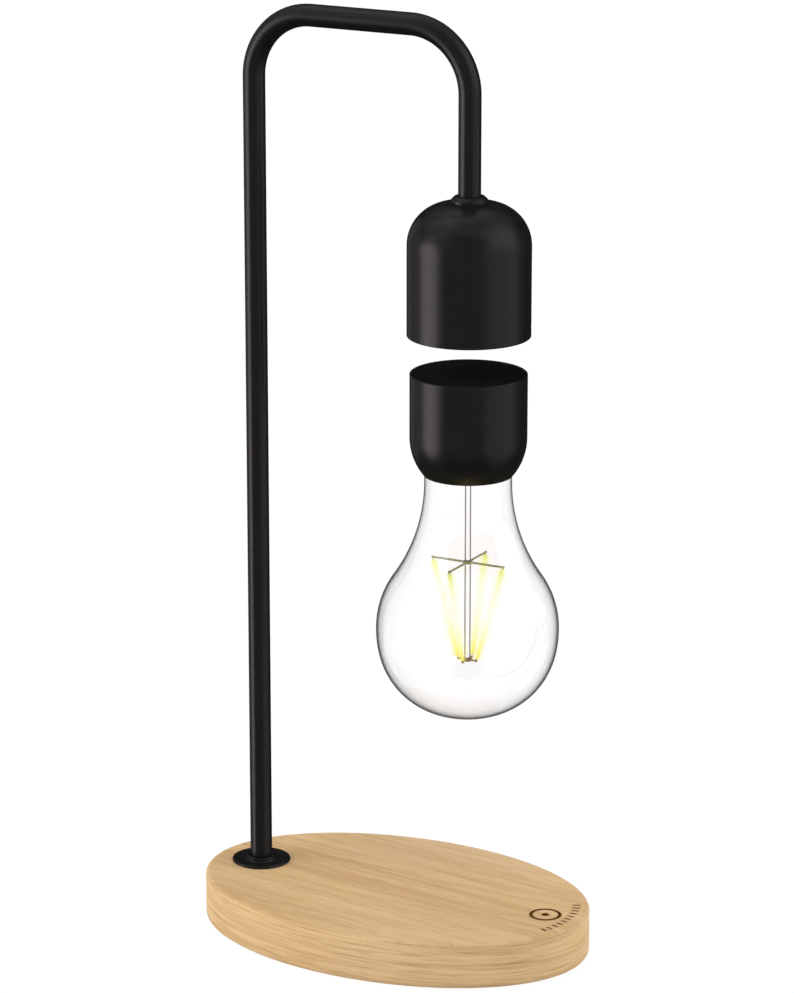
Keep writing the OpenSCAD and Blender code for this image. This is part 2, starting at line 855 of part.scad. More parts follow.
module cup_shell() {
    color(coat) translate([head_x, 0, 0]) difference() {
        rotate_extrude() cup_outline(cup_r, cup_round);
        rotate_extrude() cup_outline(cup_in_r, cup_round - cup_wall);
        translate([0, 0, cup_arc_z]) cylinder(r = cup_in_r, h = cup_straight + cut_over);
        translate([0, 0, cup_z - cut_over]) cylinder(r = cup_mouth_r - lip_t, h = cup_wall + 3 * cut_over);
    }
}

module cup_lid() {
    color(plastic) translate([head_x, 0, lid_z]) cylinder(r = cradle_r, h = lid_t);
}

module magnet_cradle() {
    color(ivory) translate([head_x, 0, 0]) difference() {
        union() {
            translate([0, 0, cradle_z]) cylinder(r = cradle_r, h = lid_z - cradle_z);
            around(3, cup_post_ring) translate([0, 0, receiver_top])
                cylinder(r = cup_post_r, h = cradle_z - receiver_top + cut_over);
        }
        translate([0, 0, pocket_z]) cylinder(r = pocket_r, h = lid_z - pocket_z + cut_over);
        translate([0, 0, lid_z - coil_t - ferrite_t])
            ring(coil_out_r, coil_in_r, coil_t + ferrite_t + cut_over);
    }
}

module receive_coil() {
    color(copper) translate([head_x, 0, lid_z - coil_t])
        ring(coil_out_r - thread_gap, coil_in_r + thread_gap, coil_t);
}

module receiver_ferrite() {
    color(ferrite_grey) translate([head_x, 0, lid_z - coil_t - ferrite_t])
        ring(coil_out_r - thread_gap, coil_in_r + thread_gap, ferrite_t);
}

module receiver_board() {
    chip_z = receiver_t / 2;
    color(circuit) translate([head_x, 0, receiver_z]) {
        cylinder(r = receiver_r, h = receiver_t);
        translate([-receiver_chip_w / 2, -receiver_chip_w / 2, chip_z])
            cube([receiver_chip_w, receiver_chip_w, chip_z + receiver_chip_h]);
        for (a = receiver_can_angles) rotate([0, 0, a]) translate([receiver_can_ring, 0, -receiver_can_h])
            cylinder(r = receiver_can_r, h = receiver_can_h + chip_z);
    }
}

module neck_ring() {
    post_root = ring_cap_t / 3;
    color(plastic) translate([head_x, 0, 0]) {
        difference() {
            translate([0, 0, ring_z]) cylinder(r = ring_r, h = ring_top - ring_z);
            translate([0, 0, ring_z - cut_over])
                cylinder(r = neck_r + thread_gap, h = ring_cap_z - ring_z + cut_over);
            translate([0, 0, ring_z]) cylinder(r = neck_r - ring_step, h = ring_top - ring_z + cut_over);
        }
        around(3, cup_post_ring, -90) translate([0, 0, ring_top - post_root])
            cylinder(r = cup_post_r, h = receiver_z - ring_top + post_root);
    }
}

module glass_envelope() {
    color(clear_glass) translate([head_x, 0, 0]) rotate_extrude() difference() {
        polygon(concat(glass_points(0, neck_top), [[0, neck_top]]));
        polygon(concat(glass_points(glass_t, neck_top + cut_over), [[0, neck_top + cut_over]]));
    }
}

module glass_stem() {
    stem_end = hub_z - wire_r;
    color(clear_glass) translate([head_x, 0, 0]) {
        rotate_extrude() polygon([[0, press_z], [press_r, press_z], [press_r, press_top - flare_edge],
            [flare_r, flare_z - flare_edge], [flare_r, flare_z], [press_r, press_top], [0, press_top]]);
        translate([0, 0, stem_end]) cylinder(r = stem_r, h = press_z - stem_end + cut_over);
    }
}

module lead_wires() {
    color(copper) for (x = [-lead_x, lead_x]) translate([head_x + x, 0, press_top])
        cylinder(r = lead_r, h = receiver_z - press_top);
}

// Cross of two wires around the stem, with arms that reach out to r
module wire_cross(r) {
    translate([0, 0, -eye_h / 2]) ring(eye_r + eye_w, eye_r, eye_h);
    for (a = [0 : 90 : 270]) rotate([0, 0, a]) translate([eye_r + eye_w / 2, 0, 0])
        rotate([0, 90, 0]) cylinder(r = wire_r, h = r - eye_r - eye_w / 2);
}

module support_cross() {
    color(brass) translate([head_x, 0, cross_z]) wire_cross(cross_reach);
}

module filament_hub() {
    color(brass) translate([head_x, 0, hub_z]) wire_cross(hub_reach);
}

// One filament between a tip of the cross and a tip of the hub, with a short pin at each end
module filament(i) {
    spread = cross_reach - hub_reach;
    length = sqrt(pow(spread, 2) + pow(filament_rise, 2));
    lean = atan2(spread, filament_rise);
    pin_start = wire_r + pin_gap;
    color(glow) translate([head_x, 0, hub_z]) rotate([0, 0, 90 * i])
        translate([hub_reach - pin_r - hub_gap, 0, 0]) rotate([0, lean, 0]) {
            translate([0, 0, pin_start]) cylinder(r = pin_r, h = length - 2 * pin_start);
            translate([0, 0, pin_start + pin_l])
                cylinder(r = filament_d / 2, h = length - 2 * (pin_start + pin_l));
        }
}

base_block();
base_cover();
cover_screws();
rubber_feet();
ballast_plate();
ballast_screws();
control_board();
board_screws();
touch_plate();
touch_lead();
power_jack();
jack_pin();
jack_leads();
harness_plug();
arm_flange();
arm_tube();
arm_washer();
arm_nut();
arm_wires();
head_collar();
head_shell();
head_nut();
driver_board();
bias_magnet();
magnet_core();
coil_bobbin();
lift_coil();
ferrite_sheet();
transmit_coil();
sensor_board();
head_cap();
cap_screws();
float_magnet();
cup_shell();
cup_lid();
magnet_cradle();
receive_coil();
receiver_ferrite();
receiver_board();
neck_ring();
glass_envelope();
glass_stem();
lead_wires();
support_cross();
for (i = [0 : 3]) filament(i);
filament_hub();
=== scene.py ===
import math

import bmesh
import bpy
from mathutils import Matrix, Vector


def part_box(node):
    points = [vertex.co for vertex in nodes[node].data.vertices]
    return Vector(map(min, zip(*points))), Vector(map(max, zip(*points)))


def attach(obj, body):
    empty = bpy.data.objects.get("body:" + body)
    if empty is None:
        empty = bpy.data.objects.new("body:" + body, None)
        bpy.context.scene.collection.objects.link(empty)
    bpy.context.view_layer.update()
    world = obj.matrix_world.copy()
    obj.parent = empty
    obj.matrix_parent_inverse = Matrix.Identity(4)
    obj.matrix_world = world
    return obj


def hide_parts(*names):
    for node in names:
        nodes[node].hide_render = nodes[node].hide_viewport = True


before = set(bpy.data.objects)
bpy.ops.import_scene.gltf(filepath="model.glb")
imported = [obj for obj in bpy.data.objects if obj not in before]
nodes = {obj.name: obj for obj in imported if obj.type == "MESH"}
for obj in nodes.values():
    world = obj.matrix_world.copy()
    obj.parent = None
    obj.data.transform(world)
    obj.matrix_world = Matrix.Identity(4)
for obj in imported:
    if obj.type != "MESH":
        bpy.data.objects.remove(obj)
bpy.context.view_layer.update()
print("frame loaded with", len(nodes), "nodes")

# The camera stands where the photograph was taken from
photoView = {
    "place": (0.662680, -1.233780, 0.560715),
    "azimuth": 28.2188,
    "elevation": 15.7466,
    "lens": 148.44,
    "sensor": 36.0,
}


def addCamera():
    azimuth = math.radians(photoView["azimuth"])
    elevation = math.radians(photoView["elevation"])
    flat = math.cos(elevation)
    back = Vector((math.sin(azimuth) * flat, -math.cos(azimuth) * flat, math.sin(elevation)))
    data = bpy.data.cameras.new("photoCamera")
    data.lens = photoView["lens"]
    data.sensor_width = photoView["sensor"]
    data.clip_start = 0.05
    data.clip_end = 50
    camera = bpy.data.objects.new("photoCamera", data)
    camera.location = photoView["place"]
    camera.rotation_euler = (-back).to_track_quat("-Z", "Y").to_euler()
    bpy.context.scene.collection.objects.link(camera)
    bpy.context.scene.camera = camera


addCamera()
bpy.context.scene.view_settings.view_transform = "Standard"
print("camera in place")


# Small helpers for modelling by hand

def pickNone():
    bpy.ops.object.select_all(action="DESELECT")


def pickOnly(piece):
    pickNone()
    piece.select_set(True)
    bpy.context.view_layer.objects.active = piece


def fresh(name):
    piece = bpy.context.active_object
    piece.name = name
    piece.data.name = name
    bpy.ops.object.transform_apply(location=True, rotation=True, scale=True)
    return piece


def applyStep(piece, kind, **settings):
    pickOnly(piece)
    step = piece.modifiers.new(kind.lower(), kind)
    for key, value in settings.items():
        setattr(step, key, value)
    bpy.ops.object.modifier_apply(modifier=step.name)


def cutAway(piece, *cutters):
    for cutter in cutters:
        applyStep(piece, "BOOLEAN", operation="DIFFERENCE", solver="EXACT", object=cutter)
        bpy.data.objects.remove(cutter, do_unlink=True)


def weldOn(piece, *others):
    for other in others:
        applyStep(piece, "BOOLEAN", operation="UNION", solver="EXACT", object=other)
        bpy.data.objects.remove(other, do_unlink=True)


def startShaping(piece):
    pickOnly(piece)
    bpy.ops.object.mode_set(mode="EDIT")
    bpy.ops.mesh.select_mode(type="VERT")
    bpy.ops.mesh.select_all(action="SELECT")


def pickWhere(piece, kind, test):
    bpy.ops.mesh.select_mode(type=kind)
    bpy.ops.mesh.select_all(action="DESELECT")
    shape = bmesh.from_edit_mesh(piece.data)
    parts = {"FACE": shape.faces, "EDGE": shape.edges, "VERT": shape.verts}[kind]
    for part in parts:
        if test(part):
            part.select_set(True)
    shape.select_flush_mode()
    bmesh.update_edit_mesh(piece.data)


def finishEdges(piece, angle=35):
    pickOnly(piece)
    bpy.ops.object.shade_smooth_by_angle(angle=math.radians(angle))
    applyStep(piece, "WEIGHTED_NORMAL", keep_sharp=True, weight=50)


def roundBar(name, x, y, low, high, radius, sides=64):
    pickNone()
    bpy.ops.mesh.primitive_cylinder_add(vertices=sides, radius=radius, depth=high - low,
                                        location=(x, y, (low + high) / 2))
    return fresh(name)


def ovalBar(name, halfX, halfY, low, high, sides=192):
    pickNone()
    bpy.ops.mesh.primitive_cylinder_add(vertices=sides, radius=1, depth=high - low,
                                        location=(0, 0, (low + high) / 2))
    bpy.context.active_object.scale = (halfX, halfY, 1)
    return fresh(name)


def arcPoints(x, z, radius, start, end, steps):
    turns = [math.radians(start + (end - start) * i / steps) for i in range(steps + 1)]
    return [(x + radius * math.cos(turn), z + radius * math.sin(turn)) for turn in turns]


# One corner is drawn out point by point into half an outline, which is then spun round the axis at x
def spinOutline(name, outline, x, sides=128, closed=True):
    places = [Vector((x + radius, 0, z)) for radius, z in outline]
    if closed:
        places.append(places[0])
    pickNone()
    bpy.ops.mesh.primitive_plane_add(size=0.001, location=places[0])
    piece = fresh(name)
    startShaping(piece)
    bpy.ops.mesh.merge(type="CENTER")
    for last, place in zip(places, places[1:]):
        bpy.ops.mesh.extrude_region_move(TRANSFORM_OT_translate={"value": place - last})
    bpy.ops.mesh.select_all(action="SELECT")
    bpy.ops.mesh.spin(steps=sides, angle=2 * math.pi, center=(x, 0, 0), axis=(0, 0, 1))
    bpy.ops.mesh.select_all(action="SELECT")
    bpy.ops.mesh.remove_doubles(threshold=0.000002)
    bpy.ops.mesh.normals_make_consistent(inside=False)
    bpy.ops.object.mode_set(mode="OBJECT")
    return piece


# Small helpers for finishes

def tone(red, green, blue):
    def light(part):
        part = part / 255
        return part / 12.92 if part < 0.04045 else ((part + 0.055) / 1.055) ** 2.4
    return (light(red), light(green), light(blue), 1)


def newFinish(name, **sockets):
    finish = bpy.data.materials.new(name)
    finish.use_nodes = True
    shader = finish.node_tree.nodes["Principled BSDF"]
    for key, value in sockets.items():
        shader.inputs[key.replace("_", " ")].default_value = value
    return finish, finish.node_tree, shader


def put(tree, kind, values=None, **settings):
    node = tree.nodes.new("ShaderNode" + kind)
    for key, value in settings.items():
        setattr(node, key, value)
    for key, value in (values or {}).items():
        node.inputs[key].default_value = value
    return node


def mathNode(tree, kind, first, second):
    node = put(tree, "Math", operation=kind)
    for place, value in enumerate((first, second)):
        if isinstance(value, (int, float)):
            node.inputs[place].default_value = value
        else:
            tree.links.new(value, node.inputs[place])
    return node.outputs[0]


def ramp(tree, source, *stops):
    node = put(tree, "ValToRGB")
    marks = node.color_ramp.elements
    while len(marks) < len(stops):
        marks.new(0.5)
    for mark, (place, colour) in zip(marks, stops):
        mark.position = place
        mark.color = colour if isinstance(colour, tuple) else (colour, colour, colour, 1)
    tree.links.new(source, node.inputs[0])
    return node.outputs[0]


def stretched(tree, scale):
    where = put(tree, "TexCoord")
    mapping = put(tree, "Mapping", {"Scale": scale})
    tree.links.new(where.outputs["Object"], mapping.inputs["Vector"])
    return mapping.outputs[0]


def noise(tree, scale, stretch=(1, 1, 1), detail=3, roughness=0.5):
    node = put(tree, "TexNoise", {"Scale": scale, "Detail": detail, "Roughness": roughness})
    tree.links.new(stretched(tree, stretch), node.inputs["Vector"])
    return node.outputs[0]


def blendColours(tree, amount, first, second, mode="MIX"):
    node = put(tree, "Mix", data_type="RGBA", blend_type=mode)
    for place, value in ((0, amount), (6, first), (7, second)):
        if isinstance(value, (int, float, tuple)):
            node.inputs[place].default_value = value
        else:
            tree.links.new(value, node.inputs[place])
    return node.outputs[2]


def roughen(tree, shader, height, strength, depth):
    bump = put(tree, "Bump", {"Strength": strength, "Distance": depth})
    tree.links.new(height, bump.inputs["Height"])
    tree.links.new(bump.outputs[0], shader.inputs["Normal"])


# Satin powder coat on the arm, head and cup, whose fine texture takes the gloss away at the edges
coatFinish = {
    "dark": tone(12, 12, 12),
    "light": tone(15, 14, 14),
    "grain": 1500,
    "cloud": 60,
    "smooth": 0.28,
    "rough": 0.33,
    "gloss": 0.03,
    "bump": 0.00002,
}
edgeGloss = ((0.05, 1.0), (0.28, 0.62), (0.45, 0.20), (0.58, 0.06), (0.75, 0.012), (0.90, 0.0))


def softenEdges(tree, shader, gloss):
    facing = put(tree, "LayerWeight", {"Blend": 0.5})
    share = ramp(tree, facing.outputs["Facing"], *edgeGloss)
    tree.links.new(mathNode(tree, "MULTIPLY", share, gloss), shader.inputs["Specular IOR Level"])


def makeCoat():
    finish, tree, shader = newFinish("satinBlackCoat", Specular_IOR_Level=coatFinish["gloss"])
    softenEdges(tree, shader, coatFinish["gloss"])
    grain = noise(tree, coatFinish["grain"], detail=4)
    cloud = noise(tree, coatFinish["cloud"])
    tree.links.new(ramp(tree, cloud, (0.3, coatFinish["dark"]), (0.7, coatFinish["light"])),
                   shader.inputs["Base Color"])
    tree.links.new(ramp(tree, grain, (0.3, coatFinish["smooth"]), (0.7, coatFinish["rough"])),
                   shader.inputs["Roughness"])
    roughen(tree, shader, grain, 0.08, coatFinish["bump"])
    return finish


def makeMatt(name, dark, light, grain, roughness, level=0.2, depth=0.00005):
    finish, tree, shader = newFinish(name, Specular_IOR_Level=level)
    spots = noise(tree, grain, detail=5)
    tree.links.new(ramp(tree, spots, (0.3, dark), (0.7, light)), shader.inputs["Base Color"])
    sheen = ramp(tree, spots, (0.2, roughness - 0.06), (0.8, roughness + 0.06))
    tree.links.new(sheen, shader.inputs["Roughness"])
    roughen(tree, shader, spots, 0.4, depth)
    return finish


def makeMetal(name, dark, light, roughness, stretch=(1, 1, 1), grain=900):
    finish, tree, shader = newFinish(name, Metallic=1.0)
    lines = noise(tree, grain, stretch, detail=5)
    tree.links.new(ramp(tree, lines, (0.25, dark), (0.75, light)), shader.inputs["Base Color"])
    sheen = ramp(tree, lines, (0.2, roughness - 0.08), (0.8, roughness + 0.08))
    tree.links.new(sheen, shader.inputs["Roughness"])
    roughen(tree, shader, lines, 0.15, 0.00003)
    return finish


# Turns of enamelled wire: bands along z for the lifting coil, rings about the axis for the flat coils
def makeWinding(name, turnWidth, axis=None):
    finish, tree, shader = newFinish(name, Metallic=0.85, Roughness=0.32)
    where = put(tree, "TexCoord")
    split = put(tree, "SeparateXYZ")
    tree.links.new(where.outputs["Object"], split.inputs[0])
    along = split.outputs[2]
    if axis is not None:
        sideX = mathNode(tree, "SUBTRACT", split.outputs[0], axis)
        sideY = split.outputs[1]
        square = mathNode(tree, "ADD", mathNode(tree, "MULTIPLY", sideX, sideX),
                          mathNode(tree, "MULTIPLY", sideY, sideY))
        along = mathNode(tree, "SQRT", square, 0)
    wave = mathNode(tree, "SINE", mathNode(tree, "MULTIPLY", along, 2 * math.pi / turnWidth), 0)
    bright = mathNode(tree, "MULTIPLY_ADD", wave, 0.5)
    bright.node.inputs[2].default_value = 0.5
    # Painted shade in the grooves between the turns and a painted highlight along their crests
    turns = ramp(tree, bright, (0.0, tone(92, 42, 22)), (0.55, tone(196, 112, 66)),
                 (1.0, tone(226, 150, 98)))
    patches = ramp(tree, noise(tree, 220), (0.3, tone(150, 80, 44)), (0.7, tone(222, 146, 92)))
    tree.links.new(blendColours(tree, 0.35, turns, patches), shader.inputs["Base Color"])
    roughen(tree, shader, bright, 0.7, turnWidth / 3)
    return finish


# Green board with paler tracks and tinned pads
def makeBoard():
    finish, tree, shader = newFinish("greenBoard", Roughness=0.34)
    tracks = put(tree, "TexBrick", {"Scale": 1.0, "Mortar Size": 0.0004, "Mortar Smooth": 0.1, "Bias": 0.0,
                                    "Brick Width": 0.0062, "Row Height": 0.0021}, offset=0.35, squash=1.6)
    tree.links.new(stretched(tree, (1, 1, 1)), tracks.inputs["Vector"])
    spots = put(tree, "TexVoronoi", {"Scale": 380, "Randomness": 0.75})
    tree.links.new(stretched(tree, (1, 1, 1)), spots.inputs["Vector"])
    mask = ramp(tree, noise(tree, 260), (0.35, tone(10, 66, 40)), (0.65, tone(16, 84, 50)))
    lines = blendColours(tree, tracks.outputs["Fac"], mask, tone(38, 122, 70))
    pads = ramp(tree, spots.outputs["Distance"], (0.16, 1.0), (0.20, 0.0))
    tree.links.new(blendColours(tree, pads, lines, tone(196, 196, 190)), shader.inputs["Base Color"])
    roughen(tree, shader, tracks.outputs["Fac"], 0.5, 0.00005)
    return finish


blackCoat = makeCoat()
mattBlack = makeMatt("mattBlackMoulding", tone(11, 11, 11), tone(17, 17, 17), 1800, 0.62, 0.12)
lidBlack = makeMatt("deepBlackLid", tone(22, 22, 22), tone(26, 26, 26), 1400, 0.8, 0.0)
footRubber = makeMatt("footRubber", tone(28, 28, 28), tone(40, 40, 39), 900, 0.8)
ivoryNylon = makeMatt("ivoryNylon", tone(216, 210, 190), tone(232, 227, 208), 500, 0.5, 0.4)
redJacket = makeMatt("redJacket", tone(140, 26, 22), tone(168, 36, 30), 700, 0.5, 0.4)
ferriteGrey = makeMatt("ferriteGrey", tone(52, 52, 56), tone(78, 78, 82), 1400, 0.55, 0.5, 0.0001)
zincSteel = makeMetal("zincSteel", tone(150, 152, 156), tone(198, 200, 204), 0.34, (1, 12, 1))
nickelShine = makeMetal("nickelShine", tone(192, 190, 186), tone(222, 220, 214), 0.18, grain=300)
softIron = makeMetal("softIron", tone(92, 92, 96), tone(128, 128, 132), 0.46, (10, 10, 1))
plainCopper = makeMetal("plainCopper", tone(176, 96, 58), tone(222, 142, 96), 0.3)
oliveBrass = makeMetal("oliveBrass", tone(104, 105, 50), tone(132, 130, 68), 0.5, grain=1500)
warmBrass = makeMetal("warmBrass", tone(112, 88, 34), tone(150, 120, 56), 0.5, grain=1500)
boardGreen = makeBoard()
headAxis = sum((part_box("head_shell")[side].x for side in (0, 1))) / 2
coilWinding = makeWinding("coilWinding", 0.0008)
flatWinding = makeWinding("flatWinding", 0.0009, headAxis)
print("metal, plastic and winding finishes made")


# Oak with its long grain, pores and the burned touch mark
touchMark = {
    "ringRadius": 0.0052,
    "ringWidth": 0.0009,
    "dotRadius": 0.0012,
    "tickCount": 11,
    "tickTurn": math.radians(4.68),
    "tickReach": 0.034,
    "tickGap": 0.0036,
    "tickLength": 0.0022,
    "tickWidth": 0.00045,
    "depth": 0.0003,
    "halo": 0.0009,
}
oakLook = {
    "turn": math.radians(-7),
    "sideTilt": math.radians(1.5),
    "pale": tone(219, 187, 140),
    "middle": tone(212, 179, 131),
    "dark": tone(203, 168, 119),
    "vein": tone(182, 146, 101),
    "pore": tone(176, 139, 95),
    "burned": tone(84, 50, 16),
    "gloss": 0.12,
    # Painted light: the top is shaded a little darker and the upright sides are lit lighter and bluer
    "topPaintedShade": (0.945, 0.945, 0.955, 1),
    "sidePaintedLight": (1.0, 1.03, 1.085, 1),
    "sideLong": 2.0,
    "sideWide": 1.3,
}
plateLow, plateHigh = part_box("touch_plate")
markX = (plateLow.x + plateHigh.x) / 2


# The ticks stand on a wide arc round this place
def tickCentre():
    return markX + touchMark["ringRadius"] + touchMark["tickGap"] - touchMark["tickReach"]


# How near each point is to a line of the mark: 0 on it, growing outwards
def markDistance(tree):
    where = put(tree, "TexCoord")
    split = put(tree, "SeparateXYZ")
    tree.links.new(where.outputs["Object"], split.inputs[0])
    look = touchMark

    def less(first, second):
        return mathNode(tree, "SUBTRACT", first, second)

    def size(value):
        return mathNode(tree, "ABSOLUTE", value, 0)

    def fromCentre(x):
        side = less(split.outputs[0], x)
        square = mathNode(tree, "ADD", mathNode(tree, "MULTIPLY", side, side),
                          mathNode(tree, "MULTIPLY", split.outputs[1], split.outputs[1]))
        return mathNode(tree, "SQRT", square, 0), side

    away, _ = fromCentre(markX)
    ring = less(size(less(away, look["ringRadius"])), look["ringWidth"] / 2)
    dot = less(away, look["dotRadius"])
    far, side = fromCentre(tickCentre())
    across = mathNode(tree, "ARCTAN2", split.outputs[1], side)
    half = look["tickTurn"] * (look["tickCount"] - 1) / 2
    shifted = mathNode(tree, "ADD", across, look["tickTurn"] / 2)
    nearest = mathNode(tree, "SNAP", shifted, look["tickTurn"])
    capped = mathNode(tree, "MAXIMUM", mathNode(tree, "MINIMUM", nearest, half), -half)
    sideways = mathNode(tree, "MULTIPLY", size(less(across, capped)), look["tickReach"])
    along = size(less(far, look["tickReach"]))
    tick = mathNode(tree, "MAXIMUM", less(sideways, look["tickWidth"] / 2),
                    less(along, look["tickLength"] / 2))
    return mathNode(tree, "MINIMUM", mathNode(tree, "MINIMUM", ring, dot), tick)


# 1 on the upright side, 0 on the top and underneath
def sideMask(tree):
    where = put(tree, "TexCoord")
    split = put(tree, "SeparateXYZ")
    tree.links.new(where.outputs["Normal"], split.inputs[0])
    return mathNode(tree, "LESS_THAN", mathNode(tree, "ABSOLUTE", split.outputs[2], 0), 0.5)


# Grain that runs along the top and level round the side
def woodGrain(tree, upright, along, across, detail=3, roughness=0.5, distortion=0.0):
    where = put(tree, "TexCoord")
    top = put(tree, "Mapping", {"Rotation": (0, 0, oakLook["turn"]),
                                "Scale": (1 / along, 1 / across, 1 / across)}, vector_type="TEXTURE")
    long, wide = oakLook["sideLong"] / along, oakLook["sideWide"] / across
    side = put(tree, "Mapping", {"Rotation": (0, oakLook["sideTilt"], 0),
                                 "Scale": (long, long, wide)}, vector_type="TEXTURE")
    for mapping in (top, side):
        tree.links.new(where.outputs["Object"], mapping.inputs["Vector"])
    place = put(tree, "Mix", data_type="VECTOR")
    tree.links.new(upright, place.inputs[0])
    tree.links.new(top.outputs[0], place.inputs[4])
    tree.links.new(side.outputs[0], place.inputs[5])
    node = put(tree, "TexNoise", {"Scale": 1.0, "Detail": detail, "Roughness": roughness,
                                  "Distortion": distortion})
    tree.links.new(place.outputs[1], node.inputs["Vector"])
    return node.outputs[0]


def makeOak():
    finish, tree, shader = newFinish("oiledOak", Specular_IOR_Level=oakLook["gloss"])
    look = oakLook
    side = sideMask(tree)
    bands = woodGrain(tree, side, 6, 75, 3, 0.5, 0.5)
    streaks = woodGrain(tree, side, 26, 520, 4, 0.6, 0.4)
    fibres = woodGrain(tree, side, 90, 2300, 3, 0.55)
    veins = woodGrain(tree, side, 7, 95, 2, 0.4, 0.3)
    pores = woodGrain(tree, side, 150, 2700, 2, 0.5)
    patches = woodGrain(tree, side, 14, 30, 2)
    grain = ramp(tree, bands, (0.32, look["dark"]), (0.50, look["middle"]), (0.68, look["pale"]))
    for lines, onTop, onSide in ((streaks, (0.30, tone(236, 232, 226)), (0.32, tone(236, 230, 221))),
                                 (fibres, (0.25, tone(242, 239, 234)), (0.30, tone(222, 215, 205)))):
        topShade = ramp(tree, lines, onTop, (0.58, 1.0))
        sideShade = ramp(tree, lines, onSide, (0.54, 1.0))
        shade = blendColours(tree, side, topShade, sideShade)
        grain = blendColours(tree, 1.0, grain, shade, "MULTIPLY")
    # Painted light and shade: the sides are multiplied lighter and the top darker, for the way light falls
    # on them
    paintedTopSideLight = blendColours(tree, side, look["topPaintedShade"], look["sidePaintedLight"])
    grain = blendColours(tree, 1.0, grain, paintedTopSideLight, "MULTIPLY")
    warm = ramp(tree, patches, (0.35, tone(255, 250, 242)), (0.65, tone(250, 248, 255)))
    grain = blendColours(tree, 0.6, grain, warm, "MULTIPLY")
    edgeOfRing = mathNode(tree, "ABSOLUTE", mathNode(tree, "SUBTRACT", veins, 0.5), 0)
    veinMask = mathNode(tree, "MULTIPLY", ramp(tree, edgeOfRing, (0.0, 0.55), (0.014, 0.0)),
                        ramp(tree, streaks, (0.42, 1.0), (0.58, 0.0)))
    grain = blendColours(tree, veinMask, grain, look["vein"])
    poreMask = ramp(tree, pores, (0.30, 0.55), (0.38, 0.0))
    grain = blendColours(tree, poreMask, grain, look["pore"])
    distance = markDistance(tree)
    wide = put(tree, "MapRange", {"From Max": touchMark["halo"], "To Min": 1.0, "To Max": 0.0})
    tree.links.new(distance, wide.inputs["Value"])
    heat = ramp(tree, wide.outputs[0], (0.0, 0.0), (0.7, 0.28), (0.97, 0.9), (1.0, 1.0))
    tree.links.new(blendColours(tree, heat, grain, look["burned"]), shader.inputs["Base Color"])
    dull = mathNode(tree, "MULTIPLY", mathNode(tree, "SUBTRACT", 1.0, heat), look["gloss"])
    tree.links.new(dull, shader.inputs["Specular IOR Level"])
    tree.links.new(ramp(tree, streaks, (0.3, 0.62), (0.7, 0.52)), shader.inputs["Roughness"])
    height = mathNode(tree, "SUBTRACT", fibres, poreMask)
    roughen(tree, shader, height, 0.25, 0.00006)
    return finish


oiledOak = makeOak()
print("oak finish made")

# Oval oak block, hollow from below
oakBlock = {
    "sides": 256,
    "edge": 0.0018,
    "edgeSteps": 6,
    "lip": 0.003,
    "wall": 0.010,
    "skin": 0.0035,
    "clamped": 0.006,
    "slack": 0.00015,
    "wellRoom": 0.0015,
    "bossWall": 0.0025,
    "flatRing": 0.0006,
    "inletRadius": 0.0045,
    "inletDepth": 0.02,
    "inletMiddle": 0.006,
    "channel": (0.015, 0.007, 0.0038),
}


def makeOakBlock():
    low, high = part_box("base_block")
    halfX, halfY = high.x, high.y
    pickNone()
    bpy.ops.mesh.primitive_circle_add(vertices=oakBlock["sides"], radius=1, fill_type="NGON",
                                      location=(0, 0, low.z))
    bpy.context.active_object.scale = (halfX, halfY, 1)
    piece = fresh("oakBlock")
    startShaping(piece)
    bpy.ops.mesh.extrude_region_move(TRANSFORM_OT_translate={"value": (0, 0, high.z - low.z)})
    bpy.ops.mesh.select_all(action="SELECT")
    bpy.ops.mesh.normals_make_consistent(inside=False)
    pickWhere(piece, "EDGE", lambda edge: abs(edge.verts[0].co.z - edge.verts[1].co.z) < 0.00001)
    bpy.ops.mesh.bevel(offset=oakBlock["edge"], segments=oakBlock["edgeSteps"], affect="EDGES")
    pickWhere(piece, "FACE", lambda face: abs(face.normal.z) > 0.999 and len(face.verts) > 8)
    bpy.ops.mesh.inset(thickness=oakBlock["flatRing"])
    bpy.ops.object.mode_set(mode="OBJECT")

    under = low.z - 0.001
    lip, wall = oakBlock["lip"], oakBlock["wall"]
    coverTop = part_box("ballast_plate")[0].z
    hollowTop = high.z - oakBlock["skin"]
    rabbet = ovalBar("rabbet", halfX - lip, halfY - lip, under, coverTop)
    hollow = ovalBar("hollow", halfX - wall, halfY - wall, under, hollowTop)
    tubeLow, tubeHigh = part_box("arm_tube")
    armRadius = tubeHigh.y
    armX = tubeLow.x + armRadius
    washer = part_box("arm_washer")
    wellRadius = (washer[1].x - washer[0].x) / 2 + oakBlock["wellRoom"]
    bossRadius = wellRadius + oakBlock["bossWall"]
    cutAway(hollow, roundBar("armBoss", armX, 0, under - 0.001, hollowTop + 0.001, bossRadius))
    well = roundBar("nutWell", armX, 0, under, high.z - oakBlock["clamped"], wellRadius)
    bore = roundBar("armBore", armX, 0, under, high.z + 0.001, armRadius + oakBlock["slack"])
    plateWell = roundBar("plateWell", markX, 0, under, hollowTop, plateHigh.y + oakBlock["slack"])
    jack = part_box("power_jack")
    pickNone()
    inletRadius = oakBlock["inletRadius"] + oakBlock["slack"]
    inletPlace = (0, halfY - oakBlock["inletMiddle"], (jack[0].z + jack[1].z) / 2)
    bpy.ops.mesh.primitive_cylinder_add(vertices=64, radius=inletRadius, depth=oakBlock["inletDepth"],
                                        location=inletPlace, rotation=(math.pi / 2, 0, 0))
    inlet = fresh("inletHole")
    pickNone()
    long, wide, rise = oakBlock["channel"]
    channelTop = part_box("arm_wires")[0].z + rise
    bpy.ops.mesh.primitive_cube_add(size=1, location=(armX + long / 2, 0, (under + channelTop) / 2))
    bpy.context.active_object.scale = (long, wide, channelTop - under)
    channel = fresh("wireChannel")
    cutAway(piece, rabbet, hollow, well, bore, plateWell, inlet, channel)
    return piece


